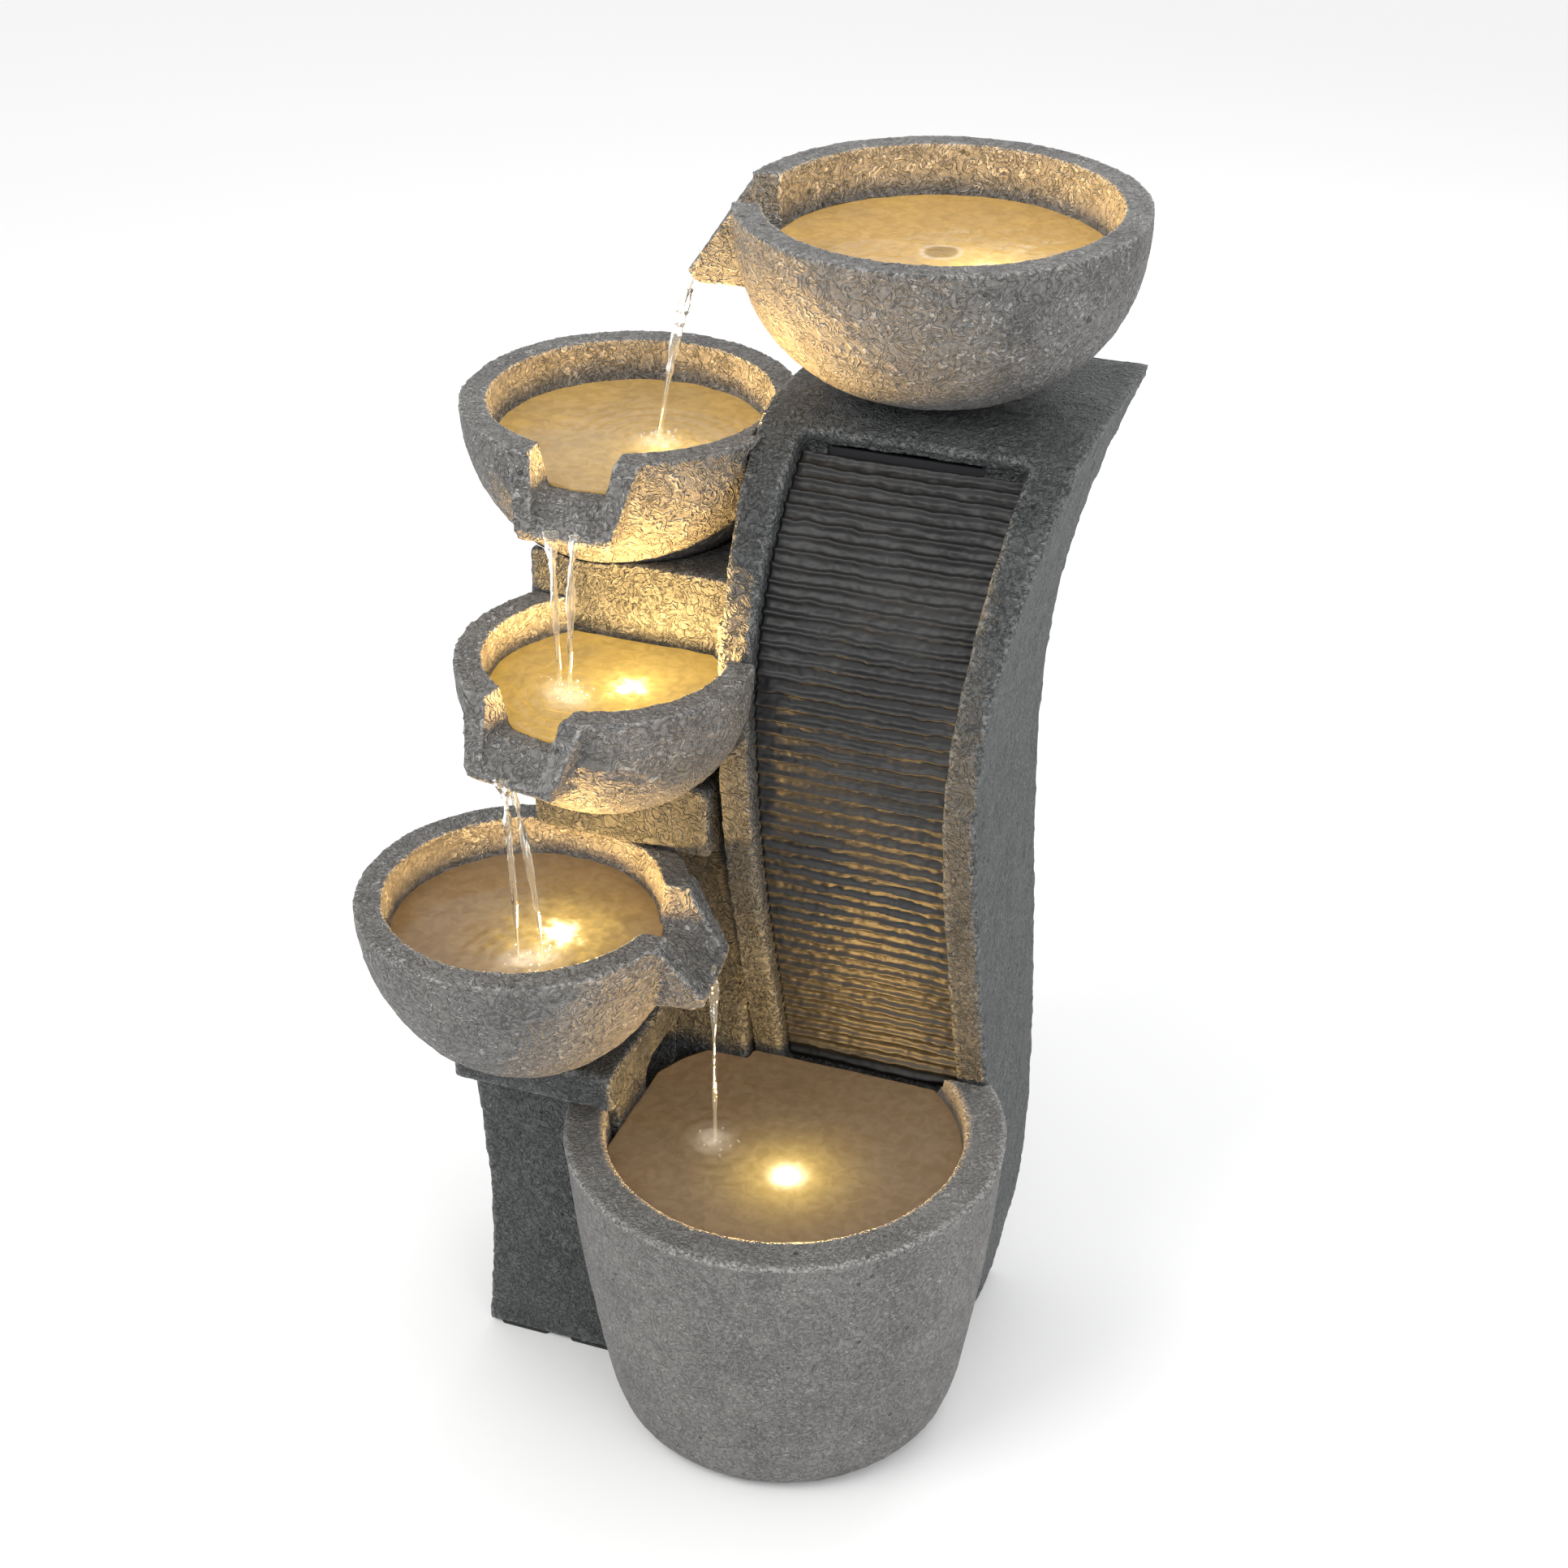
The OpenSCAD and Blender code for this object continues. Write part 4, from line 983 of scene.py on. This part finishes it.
@dataclass
class Pool:
    """One lit pool of water.

    Fields are its name, centre at the water's level, radius, the light's glow, where falling water lands in
    it, the strength of the light's bloom, the tone of the lit water, how wide and how ragged the light is,
    walls that cut into it as lowest and highest x and y, and the centre and radius of a pipe's mouth just
    under its surface.
    """

    name: str
    centre: Point
    radius: float
    glow_at: Point
    landings: list[Point]
    power: float
    tone: Colour
    spread: float
    ragged: float = 0.25
    walls: list[tuple[float, float, float, float]] = field(default_factory=list)
    inlet: Point | None = None
    inlet_radius: float = 11.2 * MM
    rings: int = 90
    spokes: int = 220

    def reach(self, turn: np.ndarray) -> np.ndarray:
        """How far the water reaches in each direction: the radius, or less where a wall stands in the way.

        Args:
            turn: directions in radians.

        Returns:
            One length per direction.
        """
        steps = np.linspace(0, 1, 400)[:, None] * self.radius
        x = self.centre[0] + steps * np.cos(turn)
        y = self.centre[1] + steps * np.sin(turn)
        blocked = np.zeros_like(x, dtype=bool)
        for x0, x1, y0, y1 in self.walls:
            blocked |= (x > x0) & (x < x1) & (y > y0) & (y < y1)
        first = np.argmax(blocked, axis=0)
        return np.where(blocked.any(axis=0), steps[first, 0], self.radius)

    def build(self) -> bpy.types.Object:
        """A polar grid whose height sums rings from each landing, dying with distance, and a little chop.

        Returns:
            The pool.
        """
        turn = np.linspace(0, 2 * np.pi, self.spokes, endpoint=False)
        share = np.linspace(0.004, 1, self.rings) ** 0.8
        r = share[:, None] * self.reach(turn)[None, :]
        x = self.centre[0] + r * np.cos(turn)
        y = self.centre[1] + r * np.sin(turn)
        flat = np.stack([x, y, np.zeros_like(x)], axis=-1).reshape(-1, 3)
        lift = 0.5 * MM * fractal_noise(flat, 55, 3, 21)
        foam_and_glint = np.zeros(len(flat))
        for lx, ly, _ in self.landings:
            d = np.hypot(flat[:, 0] - lx, flat[:, 1] - ly)
            lift += 1.1 * MM * np.exp(-d / 0.024) * np.cos(2 * np.pi * d / 0.0095)
            # white foam round each landing, which also carries a painted glint in the glow
            foam_and_glint += np.exp(-((d / 0.010) ** 2))
        top = flat + np.column_stack([np.zeros(len(flat)), np.zeros(len(flat)), self.centre[2] + lift])
        sunk = top - [0, 0, POOL_SKIN]
        count = len(top)
        quads = grid_faces(self.rings, self.spokes, wrap=True)
        hub = np.arange(self.spokes)
        rim = hub + (self.rings - 1) * self.spokes
        side = np.stack([rim + count, np.roll(rim, -1) + count, np.roll(rim, -1), rim], axis=-1)
        points = np.concatenate([top, sunk, [self.centre, np.array(self.centre) - [0, 0, POOL_SKIN]]])
        fan = np.stack([np.roll(hub, -1), np.full_like(hub, 2 * count), hub], axis=-1)
        fan_low = np.stack([hub + count, np.full_like(hub, 2 * count + 1), np.roll(hub, -1) + count], axis=-1)
        faces = [quads[:, ::-1], quads + count, side, fan, fan_low]
        made = put_mesh(self.name, points, faces, Finish.POOL.material())
        self.colour(made, points, np.concatenate([foam_and_glint, foam_and_glint, [0, 0]]))
        settle(made, BODY, "lens")
        return made

    def colour(self, made: bpy.types.Object, points: np.ndarray, foam_and_glint: np.ndarray) -> None:
        """Paints tint and glow as painted lamp light: a small white-hot core, a gold bloom and a tan pool,
        broken by noise.

        Args:
            made: the pool.
            points: its points.
            foam_and_glint: how much white foam each point has, which also glows as a painted glint.
        """
        flat = points * [1, 1, 0]
        away = np.hypot(points[:, 0] - self.glow_at[0], points[:, 1] - self.glow_at[1])
        away = np.maximum(away + 8 * MM * self.ragged * fractal_noise(flat, 190, 2, 31), 0)
        # painted light of the lamp under the water: a white core and a gold bloom, in both tint and glow
        core = np.exp(-((away / (0.0052 * self.spread)) ** 2))
        bloom = np.exp(-((away / (0.017 * self.spread)) ** 1.4))
        swirl = 0.5 + 0.5 * fractal_noise(flat * [1.0, 1.6, 1], 40, 3, 33)
        bloom = bloom[:, None]
        core = core[:, None]
        tan = np.array([0.170, 0.138, 0.102]) * (1 - 0.20 * swirl[:, None])
        gold = np.array([0.40, 0.28, 0.09])
        tint = tan * (1 - bloom) + gold * bloom + 0.25 * foam_and_glint[:, None]
        glow = np.array(self.tone) * (0.82 + 0.30 * swirl[:, None])
        glow = glow + self.power * bloom * np.array([1.0, 0.68, 0.17]) + core * np.array([5.0, 4.4, 2.8])
        # the foam also glows warm: a painted glint
        glow = glow + foam_and_glint[:, None] * np.array([0.22, 0.18, 0.12])
        # the pipe's mouth: painted shade darkens its bore, and a painted highlight pales and lights its rim
        if self.inlet:
            out = np.hypot(points[:, 0] - self.inlet[0], points[:, 1] - self.inlet[1])
            ring = np.exp(-(((out - self.inlet_radius) / (1.5 * MM)) ** 2))[:, None]
            painted_bore_shade = (0.5 - 0.5 * np.tanh((out - self.inlet_radius + 1.5 * MM) / (0.8 * MM)))[:, None]
            tint = tint * (1 - 0.55 * painted_bore_shade) + 0.16 * ring
            glow = glow * (1 - 0.45 * painted_bore_shade) * (1 - 0.35 * ring) + 0.10 * ring
        paint(made, "tint", np.clip(tint, 0, 1))
        paint(made, "glow", glow)


# ---------- falling water ----------


@dataclass
class Stream:
    """One strand of falling water, from a spout's lip to the pool below, with its splash."""

    name: str
    start: Point
    end: Point
    width: float
    seed: int
    drops: int = 14

    def path(self, steps: int) -> np.ndarray:
        """Even sideways speed and a fall that grows with the square of time.

        Args:
            steps: how many points.

        Returns:
            The centre line, top first.
        """
        t = np.linspace(0, 1, steps)[:, None]
        a, b = np.array(self.start), np.array(self.end)
        flat = a + (b - a) * t
        flat[:, 2] = a[2] + (b[2] - a[2]) * (0.35 * t + 0.65 * t**2)[:, 0]
        return flat

    def strand(self) -> tuple[np.ndarray, list[np.ndarray]]:
        """A tube whose radius pinches and swells by noise and whose section is a twisting flat oval.

        Returns:
            Points and blocks of faces.
        """
        steps, sides = 90, 12
        path = self.path(steps)
        t = np.linspace(0, 1, steps)
        turn = np.linspace(0, 2 * np.pi, sides, endpoint=False)
        flow = np.column_stack([np.zeros(steps), np.zeros(steps), t * 0.12])
        pinch = 1 + 0.45 * lattice_noise(flow, 90, self.seed) + 0.2 * lattice_noise(flow, 260, self.seed + 1)
        base = self.width * (1.25 - 0.75 * t) * pinch
        twist = turn[None, :] + 5.0 * t[:, None] + self.seed
        radii = base[:, None] * (1 + 0.55 * np.cos(2 * twist)) * 0.8
        radii[0] *= 0.7
        radii[-1] *= 0.9
        points = tube_points(path, radii, sides)
        ends = np.array([path[0], path[-1]])
        quads = grid_faces(steps, sides, wrap=True)
        count = len(points)
        first = np.arange(sides)
        last = first + (steps - 1) * sides
        top = np.stack([first, np.roll(first, -1), np.full(sides, count)], axis=-1)
        bottom = np.stack([np.roll(last, -1), last, np.full(sides, count + 1)], axis=-1)
        return np.concatenate([points, ends]), [quads, top, bottom]

    def splash(self) -> tuple[np.ndarray, np.ndarray]:
        """Drops thrown up round the landing: small spheres of random size, the farther ones thrown less high.

        Returns:
            Points and quads.
        """
        rng = np.random.default_rng(self.seed)
        lat, lon = 6, 8
        a = np.linspace(0.12, np.pi - 0.12, lat)
        b = np.linspace(0, 2 * np.pi, lon, endpoint=False)
        across = np.sin(a)
        ball = [np.outer(across, np.cos(b)), np.outer(across, np.sin(b)), np.outer(np.cos(a), np.ones(lon))]
        ball = np.stack(ball, axis=-1).reshape(-1, 3)
        out = rng.uniform(2, 15, self.drops) * MM
        turn = rng.uniform(0, 2 * np.pi, self.drops)
        lift = rng.uniform(0.4, 9, self.drops) * MM * (1 - out / (22 * MM))
        size = rng.uniform(0.45, 1.25, self.drops) * MM
        centre = np.stack([out * np.cos(turn), out * np.sin(turn), lift], axis=-1) + np.array(self.end)
        points = (centre[:, None, :] + size[:, None, None] * ball[None]).reshape(-1, 3)
        quads = grid_faces(lat, lon, wrap=True)
        faces = (quads[None] + (np.arange(self.drops) * lat * lon)[:, None, None]).reshape(-1, 4)
        return points, faces

    def build(self) -> bpy.types.Object:
        """Joins the strand and its splash in one mesh.

        Returns:
            The stream.
        """
        strand, faces = self.strand()
        drops, quads = self.splash()
        points = np.concatenate([strand, drops])
        made = put_mesh(self.name, points, [*faces, quads + len(strand)], Finish.CLEAR.material())
        settle(made, BODY, "lens")
        return made


@dataclass
class Water:
    """All the water that shows: five pools and the strands that join them."""

    def pools(self) -> list[Pool]:
        """Places the five pools, top first.

        Returns:
            The pools.
        """
        tower_left = float(high("middle_pier")[0])
        pier_front = float(low("upper_pier")[1])
        pier_right = float(high("lower_pier")[0])
        far = 300 * MM
        top_centre = from_top(12.36, 0, -30)
        return [
            Pool(
                "top_pool", top_centre, 98.5 * MM, from_top(46.96, -20.8, -30), [],
                0.9, (0.46, 0.26, 0.04), 1.6, inlet=top_centre,
            ),
            Pool(
                "upper_pool", from_upper(2.12, 7.71, -25), 81.5 * MM, from_upper(36.32, -15.69, -25),
                [from_upper(22.12, 1.21, -25)], 0.8, (0.38, 0.225, 0.04), 1.1, 0.5,
            ),
            Pool(
                "middle_pool", from_middle(0.01, 24.97, -22), 68.5 * MM, from_middle(13.61, 24.27, -22),
                [from_middle(-21.99, 9.97, -22), from_middle(-10.99, 0.97, -22)],
                1.0, (0.52, 0.30, 0.03), 1.2, 0.55,
                [(tower_left - 1 * MM, far, -34 * MM, far), (-far, far, pier_front, far)],
            ),
            Pool(
                "lower_pool", from_lower(-10.37, 0.07, -24), 80.5 * MM, from_lower(12.43, -0.53, -24),
                [from_lower(1.63, -32.93, -24), from_lower(13.63, -24.93, -24)],
                0.9, (0.12, 0.055, 0.004), 1.45, 0.85,
            ),
            Pool(
                "basin_pool", from_basin(-0.92, 15.24, -17), 107.5 * MM, from_basin(10.68, -12.16, -17),
                [from_basin(-43.62, 4.24, -17)], 0.8, (0.10, 0.055, 0.020), 1.45, 0.15,
                [
                    (tower_left, far, 16 * MM, far),
                    (-far, tower_left + 1 * MM, pier_front, far),
                    (-far, pier_right, -far, far),
                ],
            ),
        ]

    def streams(self) -> list[Stream]:
        """Places the strands, top first, each from its vessel's spout to the next vessel's water.

        Returns:
            The strands.
        """
        return [
            Stream("top_fall", from_top(-124.64, -21, -40), from_upper(22.12, 1.21, -25), 3.4 * MM, 41, 26),
            Stream(
                "upper_fall_left", from_upper(0.12, -104.79, -39), from_middle(-24.99, 13.97, -22),
                2.6 * MM, 43, 14,
            ),
            Stream(
                "upper_fall_right", from_upper(15.12, -104.79, -39), from_middle(-14.99, 5.97, -22),
                3.0 * MM, 47, 14,
            ),
            Stream(
                "middle_fall_left", from_middle(-21.99, -69.03, -37), from_lower(1.63, -33.93, -24),
                3.0 * MM, 53, 16,
            ),
            Stream(
                "middle_fall_right", from_middle(-18.99, -69.03, -37), from_lower(13.63, -25.93, -24),
                2.0 * MM, 59, 16,
            ),
            Stream(
                "lower_fall", from_lower(101.63, 15.07, -37), from_basin(-41.62, 3.24, -17), 2.2 * MM, 61, 12
            ),
        ]

    def build(self) -> None:
        """Builds the pools, then the strands."""
        for pool in self.pools():
            pool.build()
        for stream in self.streams():
            stream.build()


# ---------- plain fitted parts ----------


@dataclass
class Fittings:
    """The pump, plumbing, wiring, fixings and door, shown as their CAD solids in their own finishes."""

    plan: dict[Finish, tuple[str, ...]] = field(
        default_factory=lambda: {
            Finish.CHARCOAL: ("rear_door",),
            Finish.PLASTIC: (
                "weir_trough", "door_knob", "pump_body", "pump_cover", "pump_strainer", "hose_tee",
                "outlet_pipe", "outlet_nut", "light_housings", "junction_box", "junction_lid", "cord_gland",
            ),
            Finish.PALE_PLASTIC: ("pump_impeller", "flow_slider"),
            Finish.RUBBER: (
                "door_gasket", "pump_seal", "pump_feet", "outlet_washer", "light_seals", "wall_grommet",
                "foot_pads",
            ),
            Finish.STEEL: ("pump_shaft", "hose_clamps", "bowl_bolts", "bowl_washers"),
            Finish.HOSE: ("riser_hose", "top_hose", "weir_hose", "light_leads", "pump_lead"),
            Finish.LENS: ("light_lenses",),
        }
    )

    def build(self) -> None:
        """Gives each CAD node its finish."""
        for finish, names in self.plan.items():
            for name in names:
                node = NODES[name]
                node.data.materials.clear()
                node.data.materials.append(finish.material())
                LOG.info("node %s in %s", name, finish.value.name)


# ---------- light, floor and camera ----------


@dataclass
class Studio:
    """A pale floor, soft light all round, a warm lamp over each pool and the camera.

    Fields are the camera's turn and height in degrees, its distance, how far its aim lies from the middle of
    the frame's box, its lens, and the pool lamps' colour and watts, top first.
    """

    azimuth: float = 20.49
    elevation: float = 30.97
    distance: float = 1.6646
    aim_shift: Point = (0.0161, 0.0157, 0.0147)
    lens: float = 63.09
    lamp_colour: Colour = (1.0, 0.60, 0.20)
    lamp_watts: tuple[float, ...] = (2.2, 2.6, 3.0, 1.9, 1.7)

    def floor(self) -> None:
        """A wide pale floor under the pads."""
        reach = 6.0
        corners = np.array([[-reach, -reach, 0], [reach, -reach, 0], [reach, reach, 0], [-reach, reach, 0]])
        s = Shader("studio_floor")
        s.fix(Base_Color=(0.88, 0.88, 0.88, 1), Roughness=0.9, Specular_IOR_Level=0.1)
        put_mesh("studio_floor", corners, [np.array([[0, 1, 2, 3]])], s.material)

    def sky(self) -> None:
        """An even white surround."""
        world = bpy.data.worlds.new("studio_surround")
        world.use_nodes = True
        world.node_tree.nodes["Background"].inputs["Color"].default_value = (1.0, 1.0, 1.0, 1)
        world.node_tree.nodes["Background"].inputs["Strength"].default_value = 1.0
        bpy.context.scene.world = world

    def hang(self, data: bpy.types.Light, place: Point, aim: Vector, watts: float, colour: Colour) -> None:
        """Hangs a light in the studio.

        Args:
            data: the light.
            place: where it hangs.
            aim: the way it shines.
            watts: its power.
            colour: its colour.
        """
        data.energy = watts
        data.color = colour
        lamp = bpy.data.objects.new(data.name, data)
        lamp.location = place
        lamp.rotation_euler = aim.to_track_quat("-Z", "Y").to_euler()
        bpy.context.scene.collection.objects.link(lamp)

    def panel(self, name: str, place: Point, size: float, watts: float, colour: Colour) -> None:
        """One soft area light aimed at the fountain's middle.

        Args:
            name: its name.
            place: where it hangs.
            size: its side.
            watts: its power.
            colour: its colour.
        """
        data = bpy.data.lights.new(name, "AREA")
        data.shape = "SQUARE"
        data.size = size
        self.hang(data, place, Vector((-0.07, 0.0, 0.35)) - Vector(place), watts, colour)

    def pool_lamp(self, pool: Pool, watts: float) -> None:
        """The light that leaves a pool upwards and spills on the castings round and above it.

        Args:
            pool: the pool.
            watts: the lamp's power.
        """
        data = bpy.data.lights.new(pool.name + "_lamp", "SPOT")
        data.spot_size = math.radians(179)
        data.spot_blend = 0.02
        data.shadow_soft_size = 0.008
        x, y, level = pool.glow_at
        self.hang(data, (x, y, level + 5 * MM), Vector((0, 0, 1)), watts, self.lamp_colour)

    def camera(self) -> None:
        """Places the camera by turn, height and distance from a point near the middle of the frame's box."""
        lo, hi = CAD_BOX
        aim = (lo + hi) / 2 + Vector(self.aim_shift)
        a, e = math.radians(self.azimuth), math.radians(self.elevation)
        back = Vector((math.sin(a) * math.cos(e), -math.cos(a) * math.cos(e), math.sin(e)))
        data = bpy.data.cameras.new("studio_camera")
        data.lens = self.lens
        data.sensor_width = 36.0
        camera = bpy.data.objects.new("studio_camera", data)
        camera.location = aim + back * self.distance
        camera.rotation_mode = "QUATERNION"
        camera.rotation_quaternion = (-back).to_track_quat("-Z", "Y")
        bpy.context.scene.collection.objects.link(camera)
        bpy.context.scene.camera = camera

    def build(self) -> None:
        """Builds the whole set."""
        self.floor()
        self.sky()
        self.panel("key_light", (-0.9, -1.3, 1.9), 1.0, 19, (1.0, 0.99, 0.97))
        self.panel("fill_light", (1.5, -1.0, 1.2), 1.4, 10, (0.97, 0.98, 1.0))
        self.panel("back_light", (0.2, 1.6, 1.7), 1.2, 9, (1.0, 1.0, 1.0))
        for pool, watts in zip(Water().pools(), self.lamp_watts):
            self.pool_lamp(pool, watts)
        bpy.context.scene.view_settings.view_transform = "Standard"
        self.camera()


def main() -> None:
    """Builds the fountain's pieces in order, then the studio."""
    logging.basicConfig(level=logging.INFO, format="%(name)s: %(message)s")
    Castings().build()
    WaterWall().build()
    Fittings().build()
    Water().build()
    Studio().build()


if __name__ == "__main__":
    main()
